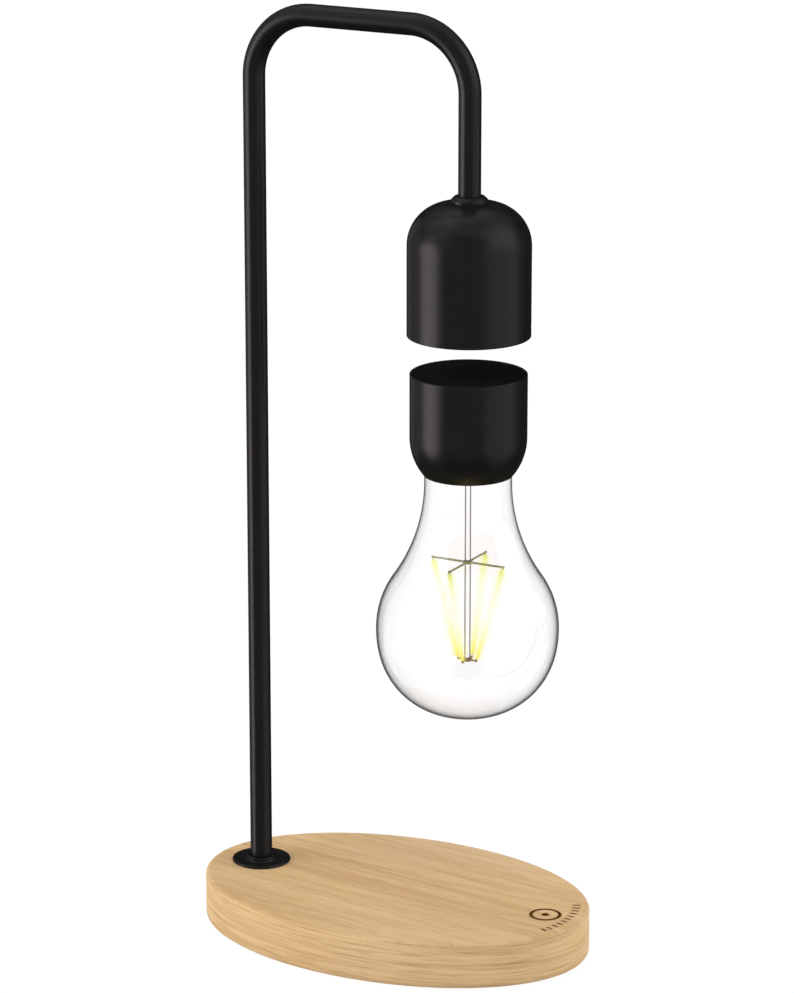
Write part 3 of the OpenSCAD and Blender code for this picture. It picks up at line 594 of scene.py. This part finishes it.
# Grooves of the mark, burned a little way into the top
def cutTouchMark(block):
    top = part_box("base_block")[1].z
    floor = top - touchMark["depth"]
    above = top + 0.001
    half = touchMark["ringWidth"] / 2
    outer = roundBar("markRing", markX, 0, floor, above, touchMark["ringRadius"] + half, 96)
    cutAway(outer, roundBar("markRingHole", markX, 0, floor - 0.001, above + 0.001,
                            touchMark["ringRadius"] - half, 96))
    dot = roundBar("markDot", markX, 0, floor, above, touchMark["dotRadius"], 48)
    cutAway(block, outer, dot)
    reach = touchMark["tickReach"]
    for i in range(touchMark["tickCount"]):
        turn = touchMark["tickTurn"] * (i - (touchMark["tickCount"] - 1) / 2)
        place = (tickCentre() + reach * math.cos(turn), reach * math.sin(turn), (floor + above) / 2)
        pickNone()
        bpy.ops.mesh.primitive_cube_add(size=1, location=place, rotation=(0, 0, turn))
        bpy.context.active_object.scale = (touchMark["tickLength"], touchMark["tickWidth"], above - floor)
        cutAway(block, fresh("markTick"))


oakPiece = makeOakBlock()
cutTouchMark(oakPiece)
finishEdges(oakPiece, 30)
oakPiece.data.materials.clear()
oakPiece.data.materials.append(oiledOak)
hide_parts("base_block")
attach(oakPiece, "stand")
print("oak block made")

# Bent arm tube: a ring is drawn up, turned over the arch and down into the head
armTube = {"sides": 72, "wall": 0.001, "bend": 0.023, "bendSteps": 40, "pastNut": 0.0015}


def makeArm():
    low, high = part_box("arm_tube")
    radius = high.y
    rear, front = low.x + radius, high.x - radius
    bend = armTube["bend"]
    springing = high.z - radius - bend
    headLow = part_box("head_nut")[0].z - armTube["pastNut"]
    pickNone()
    bpy.ops.mesh.primitive_circle_add(vertices=armTube["sides"], radius=radius, location=(rear, 0, low.z))
    piece = fresh("armTube")
    startShaping(piece)
    bpy.ops.mesh.extrude_region_move(TRANSFORM_OT_translate={"value": (0, 0, springing - low.z)})
    bpy.ops.mesh.spin(steps=armTube["bendSteps"], angle=math.pi / 2, center=(rear + bend, 0, springing),
                      axis=(0, -1, 0))
    bpy.ops.mesh.extrude_region_move(TRANSFORM_OT_translate={"value": (front - rear - 2 * bend, 0, 0)})
    bpy.ops.mesh.spin(steps=armTube["bendSteps"], angle=math.pi / 2, center=(front - bend, 0, springing),
                      axis=(0, -1, 0))
    bpy.ops.mesh.extrude_region_move(TRANSFORM_OT_translate={"value": (0, 0, headLow - springing)})
    bpy.ops.mesh.select_all(action="SELECT")
    bpy.ops.mesh.remove_doubles(threshold=0.000002)
    bpy.ops.mesh.normals_make_consistent(inside=False)
    bpy.ops.object.mode_set(mode="OBJECT")
    applyStep(piece, "SOLIDIFY", thickness=armTube["wall"], offset=-1)
    finishEdges(piece)
    return piece


# Bell-shaped head, open below, with an eased lip
headBell = {
    "fillet": 0.015,
    "wall": 0.0012,
    "ease": 0.00035,
    "slack": 0.00015,
    "hold": 0.002,
    "sides": 160,
}


def makeBell():
    low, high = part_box("head_shell")
    radius = high.y
    fillet, wall, ease, hold = (headBell[key] for key in ("fillet", "wall", "ease", "hold"))
    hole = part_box("arm_tube")[1].y + headBell["slack"]
    inner = radius - wall
    outline = [(hole, high.z), (radius - fillet - hold / 2, high.z)]
    outline += arcPoints(radius - fillet, high.z - fillet, fillet, 90, 0, 28)
    outline += [(radius, high.z - fillet - hold), (radius, low.z + hold)]
    outline += arcPoints(radius - ease, low.z + ease, ease, 0, -90, 5)
    outline += arcPoints(inner + ease, low.z + ease, ease, -90, -180, 5)
    outline += [(inner, low.z + hold), (inner, high.z - fillet - hold)]
    outline += arcPoints(radius - fillet, high.z - fillet, fillet - wall, 0, 90, 16)
    outline += [(radius - fillet - hold / 2, high.z - wall), (hole, high.z - wall)]
    piece = spinOutline("headBell", outline, headAxis, headBell["sides"])
    finishEdges(piece)
    return piece


headCollar = {"chamfer": 0.0013, "ease": 0.00025, "slack": 0.00005, "sides": 128}


def makeCollar():
    low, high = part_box("head_collar")
    radius = high.y
    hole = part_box("arm_tube")[1].y + headCollar["slack"]
    chamfer, ease = headCollar["chamfer"], headCollar["ease"]
    outline = [(hole, low.z), (radius - 0.0001, low.z), (radius, low.z + 0.0001)]
    outline += arcPoints(radius - ease, high.z - chamfer, ease, 0, 45, 4)
    outline += arcPoints(radius - chamfer, high.z - ease, ease, 45, 90, 4)
    outline += [(hole + 0.0001, high.z), (hole, high.z - 0.0001)]
    piece = spinOutline("headCollar", outline, headAxis, headCollar["sides"])
    finishEdges(piece)
    return piece


footFlange = {
    "groove": 0.0007,
    "step": 0.0015,
    "edge": 0.0005,
    "fillet": 0.0006,
    "slack": 0.00005,
    "sides": 144,
}


def makeFlange():
    low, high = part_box("arm_flange")
    radius = high.y
    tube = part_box("arm_tube")
    armX = tube[0].x + tube[1].y
    hole = tube[1].y + footFlange["slack"]
    step = tube[1].y + footFlange["step"]
    floor = low.z + footFlange["groove"]
    edge, fillet = footFlange["edge"], footFlange["fillet"]
    outline = [(hole, low.z), (radius - 0.0004, low.z)]
    outline += arcPoints(radius - edge, low.z + edge, edge, -80, 80, 10)
    outline += arcPoints(radius - 2 * fillet, low.z + 0.0004, fillet, 85, 60, 3)
    outline += [(radius - 0.0018, floor), (step + 0.0010, floor)]
    outline += arcPoints(step + fillet, floor + fillet, fillet, -90, -180, 5)
    outline += arcPoints(step - edge, high.z - edge, edge, 0, 90, 6)
    outline += [(hole + 0.00005, high.z), (hole, high.z - 0.00005)]
    piece = spinOutline("footFlange", outline, armX, footFlange["sides"])
    finishEdges(piece, 50)
    return piece


floatCup = {
    "straight": 0.0229,
    "round": 0.0213,
    "wall": 0.001,
    "ease": 0.0003,
    "lip": 0.00022,
    "lipHeight": 0.0012,
    "hold": 0.002,
    "sides": 160,
}


def makeCup():
    low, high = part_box("cup_shell")
    radius = high.y
    bend, wall, ease, hold = (floatCup[key] for key in ("round", "wall", "ease", "hold"))
    arcX, arcZ = radius - bend, high.z - floatCup["straight"]
    end = math.degrees(math.asin((arcZ - low.z) / bend))
    mouth = arcX + math.sqrt(bend ** 2 - (arcZ - low.z) ** 2) - floatCup["lip"]
    inner = bend - wall
    outline = [(mouth, low.z + 0.0001), (mouth + 0.0001, low.z)]
    outline += arcPoints(arcX, arcZ, bend, -end, 0, 30)
    outline += [(radius, arcZ + hold), (radius, high.z - hold)]
    outline += arcPoints(radius - ease, high.z - ease, ease, 0, 90, 5)
    outline += arcPoints(radius - wall + ease, high.z - ease, ease, 90, 180, 5)
    outline += [(radius - wall, high.z - hold), (radius - wall, arcZ + hold)]
    start = math.degrees(math.asin((arcZ - low.z - floatCup["lipHeight"]) / inner))
    outline += arcPoints(arcX, arcZ, inner, 0, -start, 24)
    outline += [(mouth, low.z + floatCup["lipHeight"])]
    piece = spinOutline("floatingCup", outline, headAxis, floatCup["sides"])
    finishEdges(piece)
    return piece


coatedPieces = []
for piece, node, body in ((makeArm(), "arm_tube", "stand"), (makeBell(), "head_shell", "stand"),
                          (makeCollar(), "head_collar", "stand"), (makeFlange(), "arm_flange", "stand"),
                          (makeCup(), "cup_shell", "bulb")):
    piece.data.materials.clear()
    piece.data.materials.append(blackCoat)
    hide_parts(node)
    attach(piece, body)
    coatedPieces.append(piece)
print("arm, head and cup made")

# Blown bulb: bowl, ball, shoulder and neck in one wall of clear glass
bulbGlass = {
    "bowlPower": 2.18,
    "bowlDepth": 0.0322,
    "bowlSteps": 45,
    "wall": 0.0006,
    "neckFree": 0.0026,
    "neckRadius": 0.015472,
    "neckStraight": 0.004,
    "sides": 160,
    "ior": 1.46,
}


def bulbOutline(inset):
    low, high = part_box("glass_envelope")
    full = high.y
    widest = low.z + bulbGlass["bowlDepth"]
    bowl = bulbGlass["bowlDepth"] - inset
    neck = bulbGlass["neckRadius"]
    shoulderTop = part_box("cup_shell")[0].z - bulbGlass["neckFree"]
    rise = shoulderTop - widest
    bend = (rise ** 2 + neck ** 2 - full ** 2) / (2 * (full - neck))
    bendX = neck + bend
    tangent = math.degrees(math.atan2(rise, bendX))
    power = 2 / bulbGlass["bowlPower"]
    points = []
    for i in range(bulbGlass["bowlSteps"]):
        turn = math.pi / 2 * i / bulbGlass["bowlSteps"]
        points.append(((full - inset) * math.sin(turn) ** power, widest - bowl * math.cos(turn) ** power))
    points += arcPoints(0, widest, full - inset, 0, tangent, 26)
    points += arcPoints(bendX, shoulderTop, bend + inset, 180 + tangent - 1.5, 180, 32)
    points += [(neck - inset, shoulderTop + bulbGlass["neckStraight"])]
    return points, high.z


def makeBulb():
    outer, top = bulbOutline(0)
    inner, _ = bulbOutline(bulbGlass["wall"])
    neck = bulbGlass["neckRadius"]
    wall = bulbGlass["wall"]
    lip = arcPoints(neck - wall / 2, top - wall / 2, wall / 2, 0, 180, 8)
    piece = spinOutline("glassBulb", outer + lip + inner[::-1], headAxis, bulbGlass["sides"], closed=False)
    finishEdges(piece, 60)
    return piece


# Clear glass with a painted grey shade where it is seen edge on, and which lets lamplight pass
bulbEdgeShade = ((0.32, 0.0), (0.46, 0.06), (0.58, 0.14), (0.66, 0.29), (0.725, 0.48), (0.767, 0.66),
            (0.81, 0.84), (0.88, 0.91))
stemEdgeShade = ((0.14, 0.0), (0.28, 0.5), (0.42, 0.95))
paintedEdgeShade = tone(46, 29, 30)


def mixShaders(tree, amount, first, second):
    node = put(tree, "MixShader")
    tree.links.new(amount, node.inputs[0])
    tree.links.new(first.outputs[0], node.inputs[1])
    tree.links.new(second.outputs[0], node.inputs[2])
    return node


def makeGlass(name, edge=None):
    finish, tree, shader = newFinish(name, Roughness=0.0, Transmission_Weight=1.0, IOR=bulbGlass["ior"])
    shader.inputs["Base Color"].default_value = tone(255, 254, 254)
    edged = shader
    if edge:
        facing = put(tree, "LayerWeight", {"Blend": 0.5}).outputs["Facing"]
        # Painted shade: the glass is tinted grey as it turns edge on
        grey = put(tree, "BsdfTransparent", {"Color": paintedEdgeShade})
        edged = mixShaders(tree, ramp(tree, facing, *edge), shader, grey)
    clear = put(tree, "BsdfTransparent")
    lit = mixShaders(tree, put(tree, "LightPath").outputs["Is Shadow Ray"], edged, clear)
    tree.links.new(lit.outputs[0], tree.nodes["Material Output"].inputs["Surface"])
    return finish


clearGlass = makeGlass("clearBulbGlass", bulbEdgeShade)
innerGlass = makeGlass("clearBulbInside")
stemGlass = makeGlass("clearStemGlass", stemEdgeShade)


# The inside of the blown wall is plain clear glass
def dressBulb(piece):
    piece.data.materials.clear()
    for finish in (clearGlass, innerGlass):
        piece.data.materials.append(finish)
    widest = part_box("glass_envelope")[0].z + bulbGlass["bowlDepth"]
    middle = Vector((headAxis, 0, widest))
    for face in piece.data.polygons:
        face.material_index = 1 if face.normal.dot(face.center - middle) < 0 else 0


bulbPiece = makeBulb()
dressBulb(bulbPiece)
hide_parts("glass_envelope")
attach(bulbPiece, "bulb")

# Stem, drawn down from the flare to a small bead at the hub
glassStem = {
    "radius": 0.0011,
    "tube": 0.0024,
    "fillet": 0.0012,
    "foot": 0.0006,
    "press": 0.0044,
    "flareEdge": 0.001,
    "sides": 48,
}


def makeStem():
    low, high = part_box("glass_stem")
    flare = high.y
    radius, tube, fillet = glassStem["radius"], glassStem["tube"], glassStem["fillet"]
    edge = glassStem["flareEdge"]
    press = high.z - glassStem["press"]
    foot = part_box("cup_shell")[0].z + glassStem["foot"]
    outline = [(0, low.z), (radius * 0.7, low.z + 0.00005), (radius, low.z + 0.0004)]
    outline += [(radius, foot - fillet)]
    outline += arcPoints(radius + fillet, foot - fillet, fillet, 180, 120, 5)
    outline += [(tube, foot + 0.0004), (tube, press - edge)]
    outline += [(flare - edge, high.z - 0.0013), (flare, high.z - edge), (flare, high.z)]
    outline += [(tube, press), (0, press)]
    piece = spinOutline("glassStem", outline, headAxis, glassStem["sides"], closed=False)
    finishEdges(piece, 50)
    return piece


stemPiece = makeStem()
stemPiece.data.materials.clear()
stemPiece.data.materials.append(stemGlass)
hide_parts("glass_stem")
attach(stemPiece, "bulb")
print("bulb and stem made")

# Wires that hold the filaments: an eye round the stem and four arms, each with an upset tip
wireCross = {
    "radius": 0.00038,
    "tip": 0.00048,
    "tipLength": 0.0009,
    "taper": 0.0003,
    "slack": 0.00005,
    "eyeWall": 0.0006,
    "eyeHeight": 0.0009,
    "ease": 0.0002,
    "sides": 20,
}


def makeCross(name, node):
    low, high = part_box(node)
    level = (low.z + high.z) / 2
    reach = high.y
    inner = glassStem["radius"] + wireCross["slack"]
    outer = inner + wireCross["eyeWall"]
    ease, half = wireCross["ease"], wireCross["eyeHeight"] / 2
    outline = [(inner, level - half), (outer - ease, level - half)]
    outline += arcPoints(outer - ease, level - half + ease, ease, -70, 0, 3)
    outline += arcPoints(outer - ease, level + half - ease, ease, 0, 90, 4)
    outline += [(inner + 0.00005, level + half), (inner, level + half - 0.00005)]
    piece = spinOutline(name, outline, headAxis, 64)
    bar, tip = wireCross["radius"], wireCross["tip"]
    tipLength, taper = wireCross["tipLength"], wireCross["taper"]
    start = inner + wireCross["eyeWall"] / 2
    steps = [(reach - tipLength - taper - start, 1), (taper, tip / bar), (tipLength - ease, 1), (ease, 0.6)]
    for i in range(4):
        turn = math.radians(90 * i)
        pickNone()
        bpy.ops.mesh.primitive_circle_add(vertices=wireCross["sides"], radius=bar, fill_type="NGON",
                                          location=(start, 0, 0), rotation=(0, math.pi / 2, 0))
        arm = fresh("wireArm")
        startShaping(arm)
        for length, spread in steps:
            bpy.ops.mesh.extrude_region_move(TRANSFORM_OT_translate={"value": (length, 0, 0)})
            bpy.ops.transform.resize(value=(1, spread, spread))
        bpy.ops.mesh.select_all(action="SELECT")
        bpy.ops.mesh.normals_make_consistent(inside=False)
        bpy.ops.object.mode_set(mode="OBJECT")
        arm.location = (headAxis, 0, level)
        arm.rotation_euler = (0, 0, turn)
        pickOnly(arm)
        bpy.ops.object.transform_apply(location=True, rotation=True, scale=True)
        weldOn(piece, arm)
    finishEdges(piece, 40)
    return piece


brightPieces = []
for name, node, finish in (("supportCross", "support_cross", oliveBrass),
                           ("filamentHub", "filament_hub", warmBrass)):
    piece = makeCross(name, node)
    piece.data.materials.clear()
    piece.data.materials.append(finish)
    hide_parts(node)
    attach(piece, "bulb")
    brightPieces.append(piece)
print("wire cross and hub made")

# Lit filaments: a bright core in a soft jacket, yellow at both ends and nearly white between
filamentStrip = {
    "core": 0.0005,
    "sleeve": 0.0012,
    "jacket": 0.0025,
    "gap": 0.00053,
    "inset": 0.00045,
    "pinLength": 0.0001,
    "sides": 32,
    "shine": 1.0,
    "glow": 2.0,
}
coreStops = ((0.0, tone(236, 210, 84)), (0.05, tone(252, 238, 110)), (0.13, tone(255, 250, 150)),
             (0.28, tone(255, 255, 214)), (0.48, tone(255, 255, 248)), (0.68, tone(255, 255, 240)),
             (0.85, tone(250, 252, 200)), (0.94, tone(240, 242, 146)), (1.0, tone(196, 196, 96)))
jacketStops = ((0.0, tone(250, 236, 96)), (0.10, tone(255, 250, 132)), (0.30, tone(255, 255, 188)),
               (0.50, tone(254, 255, 224)), (0.72, tone(252, 255, 208)), (0.92, tone(246, 250, 150)),
               (1.0, tone(232, 234, 104)))


# The jacket thins out towards its edges, as a clear sleeve does
def makeGlow(name, stops, cover, thins):
    finish, tree, shader = newFinish(name, Roughness=0.5, Specular_IOR_Level=0.0)
    low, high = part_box("filament_1")
    where = put(tree, "TexCoord")
    split = put(tree, "SeparateXYZ")
    tree.links.new(where.outputs["Object"], split.inputs[0])
    along = put(tree, "MapRange", {"From Min": low.z, "From Max": high.z})
    tree.links.new(split.outputs[2], along.inputs["Value"])
    spots = noise(tree, 900, detail=2)
    shift = mathNode(tree, "MULTIPLY", mathNode(tree, "SUBTRACT", spots, 0.5), 0.05)
    place = mathNode(tree, "ADD", along.outputs[0], shift)
    path = put(tree, "LightPath")
    seen = mathNode(tree, "MAXIMUM", path.outputs["Is Camera Ray"], path.outputs["Is Transmission Ray"])
    away = mathNode(tree, "SUBTRACT", 1.0, seen)
    extra = mathNode(tree, "MULTIPLY", away, filamentStrip["glow"])
    power = mathNode(tree, "ADD", filamentStrip["shine"], extra)
    shader.inputs["Base Color"].default_value = (0, 0, 0, 1)
    shader.inputs["Alpha"].default_value = cover
    if thins:
        facing = put(tree, "LayerWeight", {"Blend": 0.5})
        depth = mathNode(tree, "SUBTRACT", 1.0, facing.outputs["Facing"])
        soft = mathNode(tree, "MULTIPLY", mathNode(tree, "MULTIPLY", depth, depth), cover)
        tree.links.new(soft, shader.inputs["Alpha"])
    tree.links.new(ramp(tree, place, *stops), shader.inputs["Emission Color"])
    tree.links.new(power, shader.inputs["Emission Strength"])
    return finish


coreGlow = makeGlow("filamentCore", coreStops, 1.0, False)
sleeveGlow = makeGlow("filamentSleeve", jacketStops, 0.40, True)
jacketGlow = makeGlow("filamentJacket", jacketStops, 0.24, True)


# Rod with rounded ends, drawn out into a pin at each end where it has one
def glowRod(name, radius, body, middle, pin):
    pickNone()
    bpy.ops.mesh.primitive_cylinder_add(vertices=filamentStrip["sides"], radius=radius, depth=body,
                                        location=(0, 0, middle))
    rod = fresh(name)
    startShaping(rod)
    rounding = radius * 0.6
    pickWhere(rod, "FACE", lambda face: abs(face.normal.z) > 0.9)
    bpy.ops.mesh.bevel(offset=rounding, segments=5, affect="EDGES")
    for side in (-1, 1):
        pickWhere(rod, "FACE", lambda face: face.normal.z * side > 0.99 and len(face.verts) > 8)
        bpy.ops.mesh.inset(thickness=(radius - rounding) / 2)
        if pin:
            bpy.ops.mesh.extrude_region_move(TRANSFORM_OT_translate={"value": (0, 0, side * pin)})
    bpy.ops.object.mode_set(mode="OBJECT")
    finishEdges(rod, 40)
    return rod


def makeFilaments():
    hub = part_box("filament_hub")
    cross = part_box("support_cross")
    hubZ, crossZ = (hub[0].z + hub[1].z) / 2, (cross[0].z + cross[1].z) / 2
    lean = math.atan2(cross[1].x - hub[1].x, crossZ - hubZ)
    inner = hub[1].y - filamentStrip["inset"]
    length = (crossZ - hubZ) / math.cos(lean)
    pin = filamentStrip["pinLength"]
    body = length - 2 * (filamentStrip["gap"] + pin)
    for i in range(4):
        turn = math.radians(90 * i)
        rods = []
        for part, finish in (("core", coreGlow), ("sleeve", sleeveGlow), ("jacket", jacketGlow)):
            radius = filamentStrip[part]
            rod = glowRod(part, radius, body, length / 2, pin if part == "core" else 0)
            rod.data.materials.clear()
            rod.data.materials.append(finish)
            rods.append(rod)
        pickOnly(rods[0])
        for rod in rods[1:]:
            rod.select_set(True)
        bpy.ops.object.join()
        piece = rods[0]
        piece.name = piece.data.name = f"filament{i + 1}"
        piece.location = (headAxis + inner * math.cos(turn), inner * math.sin(turn), hubZ)
        piece.rotation_euler = (0, lean, turn)
        pickOnly(piece)
        bpy.ops.object.transform_apply(location=True, rotation=True, scale=True)
        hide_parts(f"filament_{i + 1}")
        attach(piece, "bulb")
        brightPieces.append(piece)


makeFilaments()
print("filaments made")

# Finishes of the CAD nodes that stay as they are
nodeFinishes = {
    mattBlack: ("base_cover", "power_jack", "head_cap", "neck_ring"),
    lidBlack: ("cup_lid",),
    footRubber: ("rubber_feet",),
    zincSteel: ("cover_screws", "ballast_plate", "ballast_screws", "board_screws", "jack_pin", "arm_washer",
                "arm_nut", "head_nut", "cap_screws"),
    boardGreen: ("control_board", "driver_board", "sensor_board", "receiver_board"),
    plainCopper: ("touch_plate", "touch_lead", "jack_leads", "lead_wires"),
    ivoryNylon: ("harness_plug", "coil_bobbin", "magnet_cradle"),
    redJacket: ("arm_wires",),
    nickelShine: ("bias_magnet", "float_magnet"),
    softIron: ("magnet_core",),
    coilWinding: ("lift_coil",),
    flatWinding: ("transmit_coil", "receive_coil"),
    ferriteGrey: ("ferrite_sheet", "receiver_ferrite"),
}
keptNodes = []
for finish, names in nodeFinishes.items():
    for name in names:
        nodes[name].data.materials.clear()
        nodes[name].data.materials.append(finish)
        keptNodes.append(name)
print("inner parts finished")

# White studio: the sky and floor show white to the eye and in glass, and light the lamp gently
studio = {"sky": 0.70, "floorSize": 16.0, "floorTone": 0.75, "floorWhite": 0.92, "white": 1.04}
windows = [
    {"name": "leftWindow", "power": 2.05, "angle": 50, "turn": -72, "tilt": 27},
    {"name": "rightWindow", "power": 2.4, "angle": 60, "turn": 92, "tilt": 5},
]


def seenDirectly(tree):
    path = put(tree, "LightPath")
    first = mathNode(tree, "MAXIMUM", path.outputs["Is Camera Ray"], path.outputs["Is Glossy Ray"])
    return mathNode(tree, "MAXIMUM", first, path.outputs["Is Transmission Ray"])


def makeStudio():
    world = bpy.data.worlds.new("studioSky")
    bpy.context.scene.world = world
    world.use_nodes = True
    tree = world.node_tree
    sky = tree.nodes["Background"]
    sky.inputs[0].default_value = (1, 1, 1, 1)
    extra = mathNode(tree, "MULTIPLY", seenDirectly(tree), 1 - studio["sky"])
    tree.links.new(mathNode(tree, "ADD", extra, studio["sky"]), sky.inputs[1])

    pickNone()
    bpy.ops.mesh.primitive_plane_add(size=studio["floorSize"], location=(0, 0, 0))
    floor = bpy.context.active_object
    floor.name = "studioFloor"
    finish, tree, shader = newFinish("paleFloor", Roughness=1.0, Specular_IOR_Level=0.0)
    shader.inputs["Base Color"].default_value = (studio["floorTone"],) * 3 + (1,)
    white = put(tree, "Emission", {"Strength": studio["white"]})
    mix = put(tree, "MixShader")
    tree.links.new(mathNode(tree, "MULTIPLY", seenDirectly(tree), studio["floorWhite"]), mix.inputs[0])
    tree.links.new(shader.outputs[0], mix.inputs[1])
    tree.links.new(white.outputs[0], mix.inputs[2])
    tree.links.new(mix.outputs[0], tree.nodes["Material Output"].inputs["Surface"])
    floor.data.materials.append(finish)
    floor.visible_glossy = False


# Direction to a lamp, turned from the camera's own side and tilted up from the floor
def towards(turn, tilt):
    turn, tilt = math.radians(photoView["azimuth"] + turn), math.radians(tilt)
    return Vector((math.sin(turn) * math.cos(tilt), -math.cos(turn) * math.cos(tilt), math.sin(tilt)))


def addSoftSun(settings):
    data = bpy.data.lights.new(settings["name"], "SUN")
    data.angle = math.radians(settings["angle"])
    lamp = bpy.data.objects.new(settings["name"], data)
    back = -towards(settings["turn"], settings["tilt"])
    lamp.rotation_euler = back.to_track_quat("-Z", "Y").to_euler()
    bpy.context.scene.collection.objects.link(lamp)
    return lamp


def addWindows():
    for window in windows:
        lamp = addSoftSun(window)
        lamp.data.energy = window["power"]
        lamp.visible_glossy = False


# Wide soft lights that only show as reflections in the black coat
coatLights = [
    {"name": "leftLow", "turn": -82, "tilt": -8, "angle": 42, "bright": 33.0},
    {"name": "leftHigh", "turn": -80, "tilt": 2, "angle": 44, "bright": 4.5},
    {"name": "leftTop", "turn": -95, "tilt": 46, "angle": 60, "bright": 4.5},
    {"name": "leftBack", "turn": -134, "tilt": -4, "angle": 50, "bright": 7.5},
    {"name": "rightWide", "turn": 66, "tilt": 0, "angle": 78, "bright": 6.8},
    {"name": "rightTop", "turn": 72, "tilt": 30, "angle": 62, "bright": 6.0},
    {"name": "overhead", "turn": 100, "tilt": 75, "angle": 100, "bright": 5.0},
    {"name": "behind", "turn": -150, "tilt": 55, "angle": 66, "bright": 5.0},
    {"name": "front", "turn": -6, "tilt": -2, "angle": 70, "bright": 2.3},
    {"name": "leftWindowShine", "turn": -62, "tilt": 27, "angle": 50, "bright": 3.5},
    {"name": "rightWindowShine", "turn": 100, "tilt": 5, "angle": 60, "bright": 2.0},
]
coatLightTone = (1.0, 0.92, 0.895)


# The lit filaments' own light, which warms the cup from below
bulbLight = {"power": 0.55, "size": 0.012, "tone": (1.0, 0.86, 0.30)}


def addBulbLight():
    data = bpy.data.lights.new("filamentLight", "POINT")
    data.energy = bulbLight["power"]
    data.color = bulbLight["tone"]
    data.shadow_soft_size = bulbLight["size"]
    lamp = bpy.data.objects.new("filamentLight", data)
    low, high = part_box("filament_1")
    lamp.location = (headAxis, 0, (low.z + high.z) / 2)
    lamp.visible_camera = lamp.visible_transmission = False
    cup = bpy.data.collections.new("cupAlone")
    cup.objects.link(coatedPieces[-1])
    lamp.light_linking.receiver_collection = cup
    bpy.context.scene.collection.objects.link(lamp)


def addCoatLights():
    coated = bpy.data.collections.new("coatedPieces")
    for piece in coatedPieces:
        coated.objects.link(piece)
    for light in coatLights:
        lamp = addSoftSun(light)
        lamp.data.energy = light["bright"] * math.pi * math.sin(lamp.data.angle / 2) ** 2
        lamp.data.color = coatLightTone
        lamp.visible_camera = False
        lamp.visible_diffuse = False
        lamp.visible_transmission = False
        lamp.light_linking.receiver_collection = coated
        lamp.light_linking.blocker_collection = coated


# Only the white studio mirrors in the thin glass, not the lamp's own parts
for piece in [oakPiece] + coatedPieces + brightPieces + [nodes[name] for name in keptNodes]:
    piece.visible_glossy = False

makeStudio()
addWindows()
addCoatLights()
addBulbLight()
print("studio lit")
